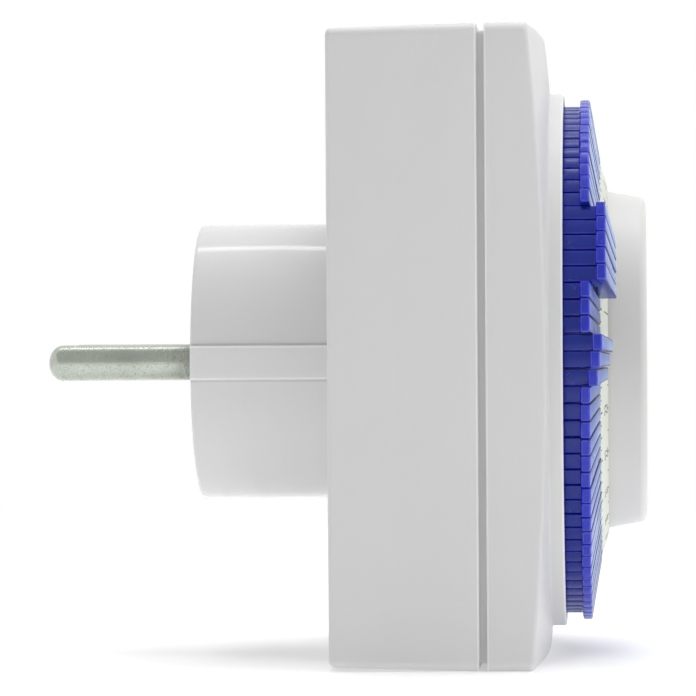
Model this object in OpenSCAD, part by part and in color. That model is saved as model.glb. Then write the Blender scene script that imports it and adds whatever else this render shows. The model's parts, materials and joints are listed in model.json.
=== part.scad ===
// Plug-in mechanical 24 hour timer switch: a round two-pin plug behind a
// two-part casing, and a ring of 96 tappets turning round a fixed socket collar.
// Millimetres. The plug's end face is the plane y = 0, the pins point to +Y,
// the socket faces -Y and +Z is up. x = z = 0 is the common axis of the plug,
// the socket and the dial.

/* [Casing] */
// Width of the casing
case_w = 76; // [75:0.5:84]
// Height of the casing at the seam
case_h = 83.2; // [82:0.5:92]
// How far the plug and dial axis lies below the middle of the casing
axis_drop = 2; // [0:0.1:2.2]
// Depth of the rear case, from its back to the seam
rear_depth = 19.4; // [19:0.1:24]
// Depth of the front cover, from the seam to the front face
cover_depth = 8.1; // [7.8:0.1:9]
// Wall thickness of the rear case
rear_wall = 2.2; // [1.8:0.1:2.4]
// Wall thickness of the front cover
cover_wall = 1.8; // [1.5:0.1:1.9]
// Radius of the casing's corners
edge_r = 1.6; // [0.5:0.1:2.4]
// How much narrower each side of the rear case is at the back
draft = 0.5; // [0:0.1:0.6]
// Bevel round the back of the rear case
back_bevel = 0.6; // [0.2:0.1:1]
// Width of the groove between the two shells
seam_gap = 0.8; // [0.4:0.1:1]
// Depth of the groove between the two shells
seam_depth = 0.9; // [0.6:0.1:1]
// Radius of the domed front face outside the dial ring
dome_r = 417; // [360:1:900]

/* [Plug] */
// Diameter of the plug body
plug_d = 37.5; // [36:0.5:38]
// Length of the plug body behind the casing
plug_len = 19.5; // [18:0.5:24]
// Thickness of the plug's end wall
plug_end = 3.5; // [2.5:0.1:5]
// Diameter of each pin
pin_d = 4.8; // [4:0.1:5]
// Length of each pin beyond the plug
pin_len = 20; // [18:0.5:20.5]
// Distance between the pins
pin_spacing = 19; // [18:0.5:20]
// Length of each pin inside the plug
pin_root = 12; // [9:0.5:14]
// Height of the flat rib on each side of the plug
rib_w = 4.5; // [3:0.1:6]
// How far the rib stands out of the plug
rib_rise = 0.6; // [0.2:0.1:0.9]

/* [Socket] */
// Wall thickness of the collar round the recess
collar_wall = 3.2; // [2.8:0.1:3.5]
// How much narrower the collar is at its front edge, on the radius
collar_lean = 0.75; // [0.4:0.05:0.9]
// How far the collar stands out of the casing's front face
collar_rise = 12.9; // [12.6:0.1:14]
// Height of the tapered front part of the collar
collar_taper = 5; // [4:0.1:6]
// Diameter of the socket recess
recess_d = 39.5; // [39:0.1:40]
// Depth of the socket recess
recess_depth = 17.5; // [17:0.1:17.6]
// Thickness of the socket floor
socket_floor = 2.3; // [2:0.1:2.6]
// Diameter of the contact holes
contact_hole_d = 5.5; // [5.2:0.1:6]
// Angle that the safety shutter turns
shutter_turn = 40; // [36:1:50]

/* [Dial] */
// Least width of the casing beside the raised ring
ring_side = 1.8; // [1.2:0.1:4]
// Least width of the casing below the raised ring
ring_end = 3.4; // [2.8:0.1:6]
// Height of the raised ring
ring_rise = 1.95; // [1.5:0.05:2.2]
// Width of the slope round the foot of the raised ring
ring_flare = 0.3; // [0.2:0.1:1]
// How far the raised ring reaches outside the tappet heads
ring_lip = 0.8; // [0.5:0.1:1.2]
// How far the heads reach outside the tappet blades
head_lip = 0.9; // [0.8:0.1:1.4]
// Radial thickness of a blade
blade_w = 2.6; // [2.2:0.1:3]
// Width of the scale between the collar and the heads
scale_w = 4.05; // [3.5:0.05:4.5]
// Height of the blades that shows between the ring and the heads
band_rise = 2.25; // [2:0.05:2.6]
// Thickness of a head at its outer edge
head_edge = 1.2; // [1:0.1:1.6]
// How much further forward a head reaches at its inner end
head_slope = 1.4; // [1:0.1:1.8]
// How much further forward the scale reaches at the collar
scale_slope = 1.1; // [0.8:0.1:1.4]
// Number of tappets, one for each quarter of an hour
tappets = 96; // [96]
// Angle of a tappet, less than its pitch
tappet_angle = 3.35; // [3.2:0.01:3.4]
// Travel of a tappet from pressed to raised
tappet_travel = 2.1; // [1.8:0.1:2.2]

/* [Drive] */
// Thickness of the chassis plate
plate_t = 1.8; // [1.6:0.1:2]
// Thickness of each gear
gear_t = 1.2; // [1:0.1:1.2]
// Module of the reduction gears
train_module = 0.5; // [0.48:0.01:0.5]
// Height of the dial axis above the motor
motor_top = 10.2; // [10:0.1:12]
// Clearance between the motor and the casing below it
motor_clear = 1.1; // [0.8:0.1:2]
// Clearance between the motor and the back of the casing
motor_back = 0.9; // [0.5:0.1:2]
// Diameter of the gear axles
axle_d = 1.2; // [1:0.1:1.4]
// Diameter of the motor shaft and the drive arbor
shaft_d = 1.5; // [1.4:0.1:1.6]

/* [Switch] */
// Width of the switch body
switch_w = 20; // [18:0.5:21]
// Depth of the switch body
switch_d = 6.5; // [6.4:0.1:7.5]
// Height of the switch body
switch_h = 10; // [8:0.5:11]
// Travel of the lever's nose
nose_travel = 1.9; // [1.5:0.1:1.9]
// Travel of the override slider
override_travel = 4; // [2:0.1:4]

/* [Clearances] */
// Radial clearance of turning shafts and of the dial on the collar
run_fit = 0.05; // [0.03:0.01:0.08]
// Radial clearance of fixed pins and screws
fixed_fit = 0.02; // [0.01:0.01:0.05]
// Clearance between sliding and passing parts
gap = 0.2; // [0.15:0.01:0.25]
// Clearance between the dial and the raised ring
dial_gap = 0.4; // [0.3:0.05:0.5]

/* [Hidden] */
$fn = 72;

// ---- colours
white_plastic = [0.93, 0.93, 0.93];
off_white = [0.88, 0.9, 0.86];
blue_plastic = [0.16, 0.2, 0.62];
nickel = [0.72, 0.74, 0.7];
brass = [0.78, 0.66, 0.36];
steel = [0.7, 0.71, 0.73];
black_plastic = [0.12, 0.12, 0.13];
copper = [0.72, 0.43, 0.25];

// ---- levels along the axis, from the plug's end face towards the front
eps = 0.01;
slice = 0.1;
y_back = -plug_len;
y_inner = y_back - rear_wall;
y_seam = y_back - rear_depth;
y_cover = y_seam - seam_gap;
y_front = y_cover - cover_depth;
y_ring = y_front - ring_rise;
y_head = y_ring - band_rise;
y_edge = y_head - head_edge;
y_crest = y_edge - head_slope;
y_scale = y_crest - scale_slope + 0.1;
y_collar = y_front - collar_rise;
y_floor = y_collar + recess_depth;
y_plate = y_floor + socket_floor;
y_plate_back = y_plate + plate_t;

// ---- the casing
case_z = axis_drop;
// least radius of an inside corner
inner_edge_r = 0.5;
corner_facets = 24;
tongue_len = 2.2;
tongue_t = 0.9;

// ---- the dial and the tappets
ring_r = min(case_w / 2 - ring_side, case_h / 2 - axis_drop - ring_end);
head_r = ring_r - ring_lip;
blade_r = head_r - head_lip;
blade_in_r = blade_r - blade_w;
bore_r = blade_r + dial_gap;
collar_r = recess_d / 2 + collar_wall;
head_in_r = collar_r + scale_w;
hub_r = blade_in_r - 0.3;
hub_wall = 1.4;
y_wheel = y_head + 0.1;
flange_t = 2;
y_flange = y_front + cover_wall + 0.6;
y_flange_back = y_flange + flange_t;
tip_in_r = blade_in_r;
tip_r = 1.8;
tip_w = 1.2;
pitch = 360 / tappets;
// angle of tappet 0 above the horizontal, on the -X side
first_angle = 0.5;
// tappets that have a node of their own, counted from the first angle
first_single = -2;
singles = 13;
raised = [5, 6, 7, 8, 9];
// tappets raised for a second switching time, on the far side of the dial
second_time = [53, 54, 55, 56, 57];
// tappets left part-way: which one, and how far it stands out
part_way = [[-1, 1.0], [0, 1.3], [1, 1.6]];

// ---- the gears
dial_teeth = 120;
dial_module = 2 * (bore_r - 0.1) / dial_teeth;
drive_teeth = 12;
pinion_teeth = 10;
first_teeth = 36;
second_teeth = 32;
clutch_teeth = 28;
// heights of a tooth above and below the pitch circle, in modules
addendum = 0.7;
dedendum = 0.95;
mesh_slack = 0.06;
layer_gap = 0.2;
y_layer_a = y_plate_back + 0.3;
y_layer_b = y_layer_a + gear_t + layer_gap;
y_layer_c = y_layer_b + gear_t + layer_gap;
y_bridge = y_layer_c + gear_t + layer_gap;
bridge_t = 1;
y_motor = y_bridge + bridge_t;
motor_len = y_inner - y_motor - motor_back;
motor_r = (case_h / 2 - axis_drop - rear_wall - motor_clear - motor_top) / 2;
shaft_r = shaft_d / 2;
axle_r = axle_d / 2;

function pitch_r(teeth, size) = teeth * size / 2;
function centres(a, b, size) = pitch_r(a, size) + pitch_r(b, size) + mesh_slack;
// where two circles round p and q meet, on the side that the sign picks
function meeting(p, q, rp, rq, side) =
  let (d = norm(q - p), u = (q - p) / d, a = (rp * rp - rq * rq + d * d) / (2 * d))
  p + u * a + side * [-u[1], u[0]] * sqrt(rp * rp - a * a);

drive_dist = centres(dial_teeth, drive_teeth, dial_module);
drive_pos = drive_dist * [cos(-45), sin(-45)];
motor_pos = [0, -motor_top - motor_r];
second_span = centres(pinion_teeth, second_teeth, train_module);
clutch_span = centres(pinion_teeth, clutch_teeth, train_module);
// the second gear stands a little off the line from the first gear to the drive
first_pos = meeting(
  motor_pos, drive_pos, centres(pinion_teeth, first_teeth, train_module),
  0.954 * (second_span + clutch_span), 1
);
second_pos = meeting(first_pos, drive_pos, second_span, clutch_span, 1);

// ---- bosses, pillars and screws, as places in x and z
boss_r = 3;
// how far a boss of the cover goes into the front wall
boss_sink = 0.4;
sleeve_r = 4.4;
screw_r = 1.5;
screw_head_r = 2.8;
screw_head_t = 1.8;
screw_sink = 8;
boss_low = [motor_r + 4.2, case_z - case_h / 2 + 4.9];
boss_high = [case_w / 2 - 6, case_z + case_h / 2 - 5.6];
case_screw_spots = [
  boss_low, [-boss_low[0], boss_low[1]], boss_high, [-boss_high[0], boss_high[1]]
];
pillar_r = 1.6;
pillar_reach = motor_r + 2.6;
// three pillars round the motor and one beyond the second gear
bridge_spots = [
  motor_pos + pillar_reach * [cos(135), sin(135)],
  motor_pos + pillar_reach * [cos(225), sin(225)],
  motor_pos + pillar_reach * [cos(315), sin(315)],
  second_pos + (pitch_r(second_teeth, train_module) + pillar_r + 2.6) * [cos(30), sin(30)]
];
// edge of the bridge round its outermost holes
bridge_rim = 2.2;
small_screw_r = 0.7;
small_head_r = 1.35;
small_head_t = 0.7;
// length of a small screw in its pillar, and of the hole that takes it
small_grip = 3.5;
small_hole = 4;
motor_ear = motor_r + 2.2;
lead_r = 0.5;
socket_screw_r = 1;
socket_head_r = 2;
socket_head_t = 0.9;
socket_grip = 6;
socket_hole = 7;
socket_screw_ring = (collar_r + recess_d / 2) / 2;

// ---- pins and contacts
pin_r = pin_d / 2;
pin_x = pin_spacing / 2;
neck_r = pin_r - 0.2;
pin_boss_r = 4;
rivet_r = 1.5;
sheet = 0.8;
contact_h = 6;
contact_grip = pin_r + 0.1;
// room in the plug for the pins and the strips beside them
plug_bore_r = pin_x + 5;
carrier_r = plug_bore_r + 1.5;
carrier_t = 1.9;
shutter_r = 14.2;
shutter_t = 1.1;
post_r = 1.5;
clip_t = 0.4;
clip_w = 2;

// ---- the switch and its lever
nose_r = blade_in_r + tip_r / 2;
nose_angle = first_angle + 7 * pitch;
nose_pos = [-nose_r * cos(nose_angle), nose_r * sin(nose_angle)];
lever_h = 4;
lever_t = 1.2;
ear_t = 1.2;
ear_w = 3;
// the lever's ears stand just outside the shutter's opening in the chassis
ear_low = nose_pos[1] - lever_h / 2 - gap - ear_t;
ear_ring = shutter_r + 1.35;
pivot_x = -sqrt(max(0, ear_ring * ear_ring - ear_low * ear_low)) - ear_w / 2;
y_lever = y_plate_back + nose_travel - 0.1;
lever_pin_r = 0.5;
lever_pin_reach = lever_h / 2 + gap + ear_t;
switch_x = nose_pos[0] - 4 + switch_w / 2;
switch_z = nose_pos[1];
y_switch = y_lever + lever_t + 2.6;
switch_wall = 0.8;
y_switch_base = y_switch + switch_d - 1;
plunger_x = nose_pos[0] + 5.5;
plunger_r = 1.1;
lug_z = switch_z + switch_h / 2 + 2;
lug_t = 1.5;
lug_x = [switch_x - switch_w / 2 + 2, switch_x + switch_w / 2 - 2];
// opening in the chassis for the nose, to either side of it
window_out = 2.6;
window_in = 4.8;

// ---- the override slider
knob_y = y_plate_back + 6;
knob_z = 21;
knob_h = 8;
knob_w = 5;
knob_rise = 1.2;
neck = 3.4;
// depth of the bar below the top of the casing
bar_sink = 11.6;
bar_z = case_z + case_h / 2 - bar_sink;
bar_h = 2.5;
bar_tip_z = switch_z + switch_h / 2 + 1.4;
bar_t = 1.2;
// the bar's tip, from the nose to its two sides
bar_tip_x = [nose_pos[0] + 1.5, nose_pos[0] + 5];

// ---- helpers
// a cylinder along Y at a place in x and z
module rod(y0, y1, r, at = [0, 0]) {
  translate([at[0], y0, at[1]]) rotate([-90, 0, 0]) cylinder(h = y1 - y0, r = r);
}

// a shape drawn as radius and y, turned about the axis
module turned(angle = 360) {
  rotate([-90, 0, 0]) rotate_extrude(angle = angle) children();
}

// a flat outline in x and z, thick from y0 to y1
module slab(y0, y1) {
  translate([0, y1, 0]) rotate([90, 0, 0]) linear_extrude(height = y1 - y0) children();
}

module block(x0, x1, y0, y1, z0, z1) {
  translate([x0, y0, z0]) cube([x1 - x0, y1 - y0, z1 - z0]);
}

// radius of the casing's corners at an inset
function corner_radius(inset) = max(edge_r - inset, inner_edge_r);

// a rounded block as wide and high as the casing, less an inset, from y0 forward to y1
module case_block(y0, y1, inset, back_draft = 0, bevel = 0) {
  r = corner_radius(inset);
  x = case_w / 2 - inset - r;
  z = case_h / 2 - inset - r;
  hull() {
    for (sx = [-1, 1], sz = [-1, 1]) {
      rod(y1, y1 + slice, r, [sx * x, case_z + sz * z], $fn = corner_facets);
      back = [sx * (x - back_draft), case_z + sz * (z - back_draft)];
      rod(y0 - bevel - slice, y0 - bevel, r, back, $fn = corner_facets);
      if (bevel > 0) {
        inner = [back[0] - sx * bevel, back[1] - sz * bevel];
        rod(y0 - slice, y0, r, inner, $fn = corner_facets);
      }
    }
  }
}

// a straight block with rounded corners, less an inset, from y0 forward to y1
module straight_block(y0, y1, inset, r = edge_r) {
  x = case_w / 2 - inset;
  z = case_h / 2 - inset;
  slab(y1, y0) {
    translate([-x, case_z - z + r]) square([2 * x, 2 * (z - r)]);
    translate([-x + r, case_z - z]) square([2 * (x - r), 2 * z]);
    for (sx = [-1, 1], sz = [-1, 1]) {
      translate([sx * (x - r), case_z + sz * (z - r)]) circle(r = r);
    }
  }
}

// how far back the domed front face lies at a place in x and z
function dome_fall(at) =
  sqrt(dome_r * dome_r - ring_r * ring_r)
  - sqrt(dome_r * dome_r - at[0] * at[0] - at[1] * at[1]);

// the domed block of the cover, or the room inside it when there is an inset
module cushion(inset, y_end) {
  intersection() {
    straight_block(y_end, y_front - 1, inset, corner_radius(inset));
    translate([0, y_front + sqrt(dome_r * dome_r - ring_r * ring_r), 0])
      sphere(r = dome_r - inset, $fn = 360);
  }
}

function tooth_points(teeth, size) =
  let (
    r = pitch_r(teeth, size),
    top = r + addendum * size,
    foot = r - dedendum * size,
    step = 360 / teeth
  )
  [for (i = [0 : teeth - 1])
    each [for (p = [[foot, -0.29], [top, -0.11], [top, 0.11], [foot, 0.29]])
      let (a = (i + p[1]) * step) [p[0] * cos(a), p[0] * sin(a)]]];

// a gear in the plane across Y, with a round bore
module gear(teeth, size, y0, y1, at, phase, bore) {
  translate([at[0], y0, at[1]]) rotate([-90, 0, 0]) rotate([0, 0, phase]) difference() {
    linear_extrude(height = y1 - y0) polygon(tooth_points(teeth, size));
    translate([0, 0, -1]) cylinder(h = y1 - y0 + 2, r = bore);
  }
}

function fraction(v) = v - floor(v);
// direction from p to q in a gear's own plane, where the second axis points down
function heading(p, q) = atan2(-(q[1] - p[1]), q[0] - p[0]);
// phase of a gear at q that meshes with one at p
function meshing(p, q, teeth_p, phase_p, teeth_q) =
  let (dir = heading(p, q))
  dir + 180 + (fraction((dir - phase_p) * teeth_p / 360) + 0.5) * 360 / teeth_q;

drive_phase = meshing([0, 0], drive_pos, dial_teeth, 0, drive_teeth);
first_phase = meshing(motor_pos, first_pos, pinion_teeth, 0, first_teeth);
second_phase = meshing(first_pos, second_pos, pinion_teeth, first_phase, second_teeth);
clutch_phase = meshing(second_pos, drive_pos, pinion_teeth, second_phase, clutch_teeth);

// a round-headed screw along Y, its head at y0 and its tip towards the front at y1
module screw(at, y0, y1, r, head_r, head_t) {
  difference() {
    union() {
      rod(y1, y0, r, at);
      rod(y0, y0 + head_t, head_r, at);
    }
    translate([at[0], y0 + head_t, at[1]]) cube([head_r * 1.5, head_t, head_t * 0.5], center = true);
    translate([at[0], y0 + head_t, at[1]]) cube([head_t * 0.5, head_t, head_r * 1.5], center = true);
  }
}

// ---- casing
module rear_case() {
  color(white_plastic) difference() {
    union() {
      difference() {
        case_block(y_back, y_seam, 0, draft, back_bevel);
        case_block(y_inner, y_seam - 1, rear_wall, draft);
      }
      rod(y_back - eps, 0, plug_d / 2);
      for (side = [-1, 1]) {
        translate([side * (plug_d / 4 + rib_rise / 2), y_back / 2, 0])
          cube([plug_d / 2 + rib_rise, plug_len, rib_w], center = true);
      }
      for (spot = case_screw_spots) {
        rod(y_plate_back, y_inner + eps, boss_r, spot);
        rod(y_back - screw_sink - 1.2, y_inner + eps, sleeve_r, spot);
      }
    }
    // rebate that takes the cover's tongue
    straight_block(
      y_seam + tongue_len + 0.3, y_seam - 1, seam_depth, corner_radius(seam_depth)
    );
    // inside of the plug, with a step for the carrier
    difference() {
      union() {
        rod(y_inner + carrier_t - 0.2, -plug_end, plug_bore_r);
        rod(y_inner - 1, y_inner + carrier_t, carrier_r);
      }
      for (side = [-1, 1]) rod(-pin_root, 0, pin_boss_r, [side * pin_x, 0]);
    }
    for (side = [-1, 1]) rod(-pin_root - 1, 1, neck_r + fixed_fit, [side * pin_x, 0]);
    for (spot = case_screw_spots) {
      rod(y_plate_back - 1, 0, screw_r + 0.3, spot);
      rod(y_back - screw_sink, 0, screw_head_r + 0.4, spot);
    }
    // slot for the override knob
    block(
      case_w / 2 - rear_wall - 2, case_w / 2 + 1, knob_y - neck / 2 - gap, knob_y + neck / 2 + gap,
      knob_z - neck / 2 - override_travel - gap, knob_z + neck / 2 + gap
    );
  }
}

module front_cover() {
  color(white_plastic) difference() {
    union() {
      difference() {
        cushion(0, y_cover);
        cushion(cover_wall, y_cover + 1);
      }
      // tongue that closes the seam from inside
      difference() {
        straight_block(
          y_seam + tongue_len, y_cover - 1, seam_depth + 0.1, corner_radius(seam_depth)
        );
        straight_block(
          y_seam + tongue_len + 1, y_cover - 2, seam_depth + 0.1 + tongue_t, inner_edge_r
        );
      }
      turned() polygon([
        [0, y_ring], [ring_r, y_ring], [ring_r, y_front - ring_flare],
        [ring_r + ring_flare, y_front + cover_wall / 2], [0, y_front + cover_wall / 2]
      ]);
      rod(y_front, y_front + cover_wall, ring_r);
      for (spot = case_screw_spots) {
        rod(y_front + cover_wall - boss_sink + dome_fall(spot), y_plate, boss_r, spot);
      }
    }
    rod(y_ring - 1, y_plate, bore_r);
    for (spot = case_screw_spots) rod(y_plate - 5, y_plate + 1, screw_r + fixed_fit, spot);
  }
}

module case_screws() {
  color(steel) for (spot = case_screw_spots) {
    screw(spot, y_back - screw_sink, y_plate - 4.5, screw_r, screw_head_r, screw_head_t);
  }
}

// ---- plug
module plug_pin(side) {
  at = [side * pin_x, 0];
  color(nickel) {
    rod(0, pin_len - pin_r, pin_r, at);
    rod(-pin_root, eps, neck_r, at);
    translate([at[0], pin_len - pin_r, 0]) sphere(r = pin_r);
    rod(-pin_root - sheet, -pin_root + eps, rivet_r, at);
    rod(-pin_root - sheet - 0.8, -pin_root - sheet, rivet_r + 0.7, at);
  }
}

module plug_pin_left() {
  plug_pin(-1);
}

module plug_pin_right() {
  plug_pin(1);
}

module pin_carrier() {
  color(off_white) difference() {
    rod(y_inner, y_inner + carrier_t, carrier_r - 0.1);
    for (side = [-1, 1]) {
      rod(y_inner - 1, y_inner + carrier_t + 1, pin_r + 0.6, [side * pin_x, 0]);
    }
    // slots for the strips that go down to the pins
    block(pin_x + 2.9, pin_x + 4.6, y_inner - 1, y_inner + carrier_t + 1, -3, 3);
    block(-pin_x - 3.5, -pin_x + 3.5, y_inner - 1, y_inner + carrier_t + 1, 4.3, 5.9);
  }
}

// two leaves that grip a plug's pin, on a base at the carrier
module contact_clip(side) {
  x = side * pin_x;
  for (leaf = [-1, 1]) {
    inner = x + leaf * contact_grip;
    outer = x + leaf * (contact_grip + sheet);
    block(min(inner, outer), max(inner, outer), y_plate_back + 1, y_inner, -contact_h / 2, contact_h / 2);
  }
  block(
    x - contact_grip - sheet, x + contact_grip + sheet, y_inner - sheet, y_inner,
    -contact_h / 2, contact_h / 2
  );
}

module contact_neutral() {
  tail = pin_x + contact_grip + sheet;
  color(brass) difference() {
    union() {
      contact_clip(1);
      block(tail - 0.1, tail + sheet, y_inner - sheet, y_inner, -2.5, 2.5);
      block(tail, tail + sheet, y_inner - sheet, -pin_root, -2.5, 2.5);
      block(pin_x - 2.5, tail + sheet, -pin_root - sheet, -pin_root, -2.5, 2.5);
    }
    rod(-pin_root - sheet - 1, -pin_root + 1, rivet_r + fixed_fit, [pin_x, 0]);
  }
}

module contact_live() {
  left = switch_x - switch_w / 2 + 0.5;
  color(brass) {
    contact_clip(-1);
    block(left, -pin_x - contact_grip - sheet + 0.1, y_inner - sheet, y_inner, -2, 2);
    block(left, left + 4, y_inner - sheet, y_inner, -2, switch_z + 2);
  }
}

// the strip from the live pin: its width, its level over the contacts and its height there
strip_w = 5;
strip_drop = 2.8;
strip_y = y_inner - strip_drop;
strip_z = 4.7;

module live_strip() {
  foot = -pin_x;
  half = strip_w / 2;
  right = switch_x + switch_w / 2 - 0.5;
  color(brass) difference() {
    union() {
      block(foot - half, foot + half, -pin_root - sheet, -pin_root, -half, strip_z + sheet);
      block(foot - half, foot + half, strip_y, -pin_root, strip_z, strip_z + sheet);
      block(foot - half, foot + half, strip_y, strip_y + sheet, strip_z, switch_z + 2);
      block(right - 4, foot + half, strip_y, strip_y + sheet, switch_z - 2, switch_z + 2);
    }
    rod(-pin_root - sheet - 1, -pin_root + 1, rivet_r + fixed_fit, [foot, 0]);
  }
}

// ---- socket
module socket_insert() {
  rim_r = collar_r - collar_lean;
  lip = 1;
  color(white_plastic) difference() {
    union() {
      turned() {
        polygon([
          [0, y_plate], [collar_r, y_plate], [collar_r, y_collar + collar_taper],
          [rim_r, y_collar + lip], [rim_r - lip, y_collar], [0, y_collar]
        ]);
        translate([rim_r - lip, y_collar + lip]) circle(r = lip, $fn = 48);
      }
      rod(y_plate - eps, y_plate + shutter_t + 0.9, post_r);
    }
    rod(y_collar - 1, y_floor, recess_d / 2);
    for (side = [-1, 1]) {
      rod(y_floor - 1, y_plate + 1, contact_hole_d / 2, [side * pin_x, 0]);
      rod(
        y_plate - socket_hole, y_plate + 1, socket_screw_r + fixed_fit,
        [0, side * socket_screw_ring]
      );
    }
  }
}

module socket_screws() {
  color(steel) for (side = [-1, 1]) {
    screw(
      [0, side * socket_screw_ring], y_plate_back, y_plate - socket_grip, socket_screw_r,
      socket_head_r, socket_head_t
    );
  }
}

module shutter() {
  y0 = y_plate + gap;
  color(off_white) difference() {
    rod(y0, y0 + shutter_t, shutter_r);
    rod(y0 - 1, y0 + shutter_t + 1, post_r + run_fit);
    rotate([0, -shutter_turn, 0]) for (side = [-1, 1]) {
      rod(y0 - 1, y0 + shutter_t + 1, contact_hole_d / 2 + 0.3, [side * pin_x, 0]);
    }
  }
}

module shutter_clip() {
  y0 = y_plate + gap + shutter_t + 0.15;
  color(steel) difference() {
    rod(y0, y0 + clip_t, post_r + clip_w);
    rod(y0 - 1, y0 + 1, post_r + fixed_fit);
  }
}

// ---- chassis, motor and gears
module chassis_plate() {
  color(black_plastic) difference() {
    union() {
      straight_block(y_plate_back, y_plate, seam_depth + 0.1 + tongue_t + gap);
      for (spot = bridge_spots) rod(y_plate_back - eps, y_bridge, pillar_r, spot);
      for (x = lug_x) rod(y_plate_back - eps, y_switch, pillar_r, [x, lug_z]);
      for (side = [-1, 1]) lever_ear(side);
    }
    rod(y_plate - 1, y_plate_back + 1, shutter_r + 0.4);
    for (spot = case_screw_spots) rod(y_plate - 1, y_plate_back + 1, screw_r + 0.2, spot);
    for (side = [-1, 1]) {
      rod(
        y_plate - 1, y_plate_back + 1, socket_screw_r + 0.1, [0, side * socket_screw_ring]
      );
    }
    for (spot = [first_pos, second_pos]) {
      rod(y_plate + 0.6, y_plate_back + 1, axle_r + fixed_fit, spot);
    }
    rod(y_plate - 1, y_plate_back + 1, shaft_r + run_fit, drive_pos);
    for (spot = bridge_spots) rod(y_bridge - small_hole, y_bridge + 1, small_screw_r + fixed_fit, spot);
    for (x = lug_x) rod(y_switch - small_hole, y_switch + 1, small_screw_r + fixed_fit, [x, lug_z]);
    block(
      nose_pos[0] - window_out, nose_pos[0] + window_in, y_plate - 1, y_plate_back + 1,
      nose_pos[1] - lever_h / 2 - 0.8, nose_pos[1] + lever_h / 2 + 0.8
    );
    translate([pivot_x, y_lever + lever_t / 2, nose_pos[1] - lever_pin_reach - 1])
      cylinder(h = 2 * lever_pin_reach + 2, r = lever_pin_r + fixed_fit);
  }
}

// one of the two ears that carry the lever's pin
module lever_ear(side) {
  z = nose_pos[1] + side * (lever_h / 2 + gap + ear_t / 2);
  block(
    pivot_x - ear_w / 2, pivot_x + ear_w / 2, y_plate_back - eps, y_lever + (lever_t + ear_w) / 2,
    z - ear_t / 2, z + ear_t / 2
  );
}

module gear_bridge() {
  color(steel) difference() {
    slab(y_bridge, y_motor) {
      low = bridge_spots[1] - [bridge_rim, bridge_rim];
      translate(low) square([-2 * low[0], -motor_top - low[1]]);
      translate(motor_pos - [motor_ear + bridge_rim, 2 * bridge_rim])
        square([motor_ear, 4 * bridge_rim]);
      foot = drive_pos[1] - bridge_rim - 1;
      top = max(-motor_top, bridge_spots[3][1] + bridge_rim);
      translate([0, foot]) square([bridge_spots[3][0] + bridge_rim, top - foot]);
    }
    for (spot = bridge_spots) {
      rod(y_bridge - 1, y_motor + 1, small_screw_r + 0.1, spot);
    }
    for (spot = [first_pos, second_pos]) {
      rod(y_bridge - 1, y_motor + 1, axle_r + fixed_fit, spot);
    }
    for (spot = [motor_pos, drive_pos]) {
      rod(y_bridge - 1, y_motor + 1, shaft_r + run_fit, spot);
    }
    for (side = [-1, 1]) {
      rod(
        y_bridge - 1, y_motor + 1, small_screw_r + fixed_fit,
        motor_pos + [side * motor_ear, 0]
      );
    }
  }
}

module bridge_screws() {
  color(steel) for (spot = bridge_spots) {
    screw(spot, y_motor, y_bridge - small_grip, small_screw_r, small_head_r, small_head_t);
  }
}

module motor_plate() {
  t = sheet;
  color(steel) difference() {
    union() {
      rod(y_motor, y_motor + t, motor_r, motor_pos);
      for (side = [-1, 1]) {
        rod(y_motor, y_motor + t, 2.2, motor_pos + [side * motor_ear, 0]);
        block(
          motor_pos[0] + min(0, side * motor_ear), motor_pos[0] + max(0, side * motor_ear),
          y_motor, y_motor + t, motor_pos[1] - 2.2, motor_pos[1] + 2.2
        );
      }
    }
    rod(y_motor - 1, y_motor + t + 1, shaft_r + run_fit, motor_pos);
    for (side = [-1, 1]) {
      rod(
        y_motor - 1, y_motor + t + 1, small_screw_r + 0.1,
        motor_pos + [side * motor_ear, 0]
      );
    }
    for (spot = bridge_spots) rod(y_motor - 1, y_motor + t + 1, small_head_r + 0.4, spot);
  }
}

module motor_case() {
  y0 = y_motor + sheet;
  y1 = y_motor + motor_len;
  wall = 0.6;
  color(steel) difference() {
    rod(y0, y1, motor_r, motor_pos);
    rod(y0 - 1, y1 - sheet, motor_r - wall, motor_pos);
    rod(y0, y1 + 1, shaft_r + run_fit, motor_pos);
    // hole for the leads
    block(-3, 3, y_lead - 0.9, y_lead + 0.9, motor_pos[1] + motor_r - 2, motor_pos[1] + motor_r + 1);
  }
}

y_lead = y_motor + sheet + 3.5;
bobbin_r = motor_r - 0.8;
bobbin_in_r = 0.647 * motor_r;
bobbin_t = 0.8;
core_t = 0.7;
y_coil = y_motor + sheet + gap;
coil_len = motor_len - 2 * sheet - 2 * gap;

module coil_bobbin() {
  y1 = y_coil + coil_len;
  color(black_plastic) difference() {
    rod(y_coil, y1, bobbin_r, motor_pos);
    rod(y_coil - 1, y1 + 1, bobbin_in_r, motor_pos);
    difference() {
      rod(y_coil + bobbin_t, y1 - bobbin_t, bobbin_r + 1, motor_pos);
      rod(y_coil, y1, bobbin_in_r + core_t, motor_pos);
    }
  }
}

module coil_winding() {
  color(copper) difference() {
    rod(y_coil + bobbin_t, y_coil + coil_len - bobbin_t, bobbin_r - 0.4, motor_pos);
    rod(y_coil, y_coil + coil_len, bobbin_in_r + core_t, motor_pos);
  }
}

module rotor_magnet() {
  color(black_plastic) difference() {
    rod(y_coil + bobbin_t, y_coil + coil_len - bobbin_t, bobbin_in_r - 0.7, motor_pos);
    rod(y_coil, y_coil + coil_len, shaft_r, motor_pos);
  }
}

module rotor_shaft() {
  color(steel) rod(y_layer_c, y_motor + motor_len - 0.1, shaft_r, motor_pos);
}

module motor_pinion() {
  color(brass) {
    gear(pinion_teeth, train_module, y_layer_c, y_layer_c + gear_t, motor_pos, 0, shaft_r);
  }
}

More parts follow.
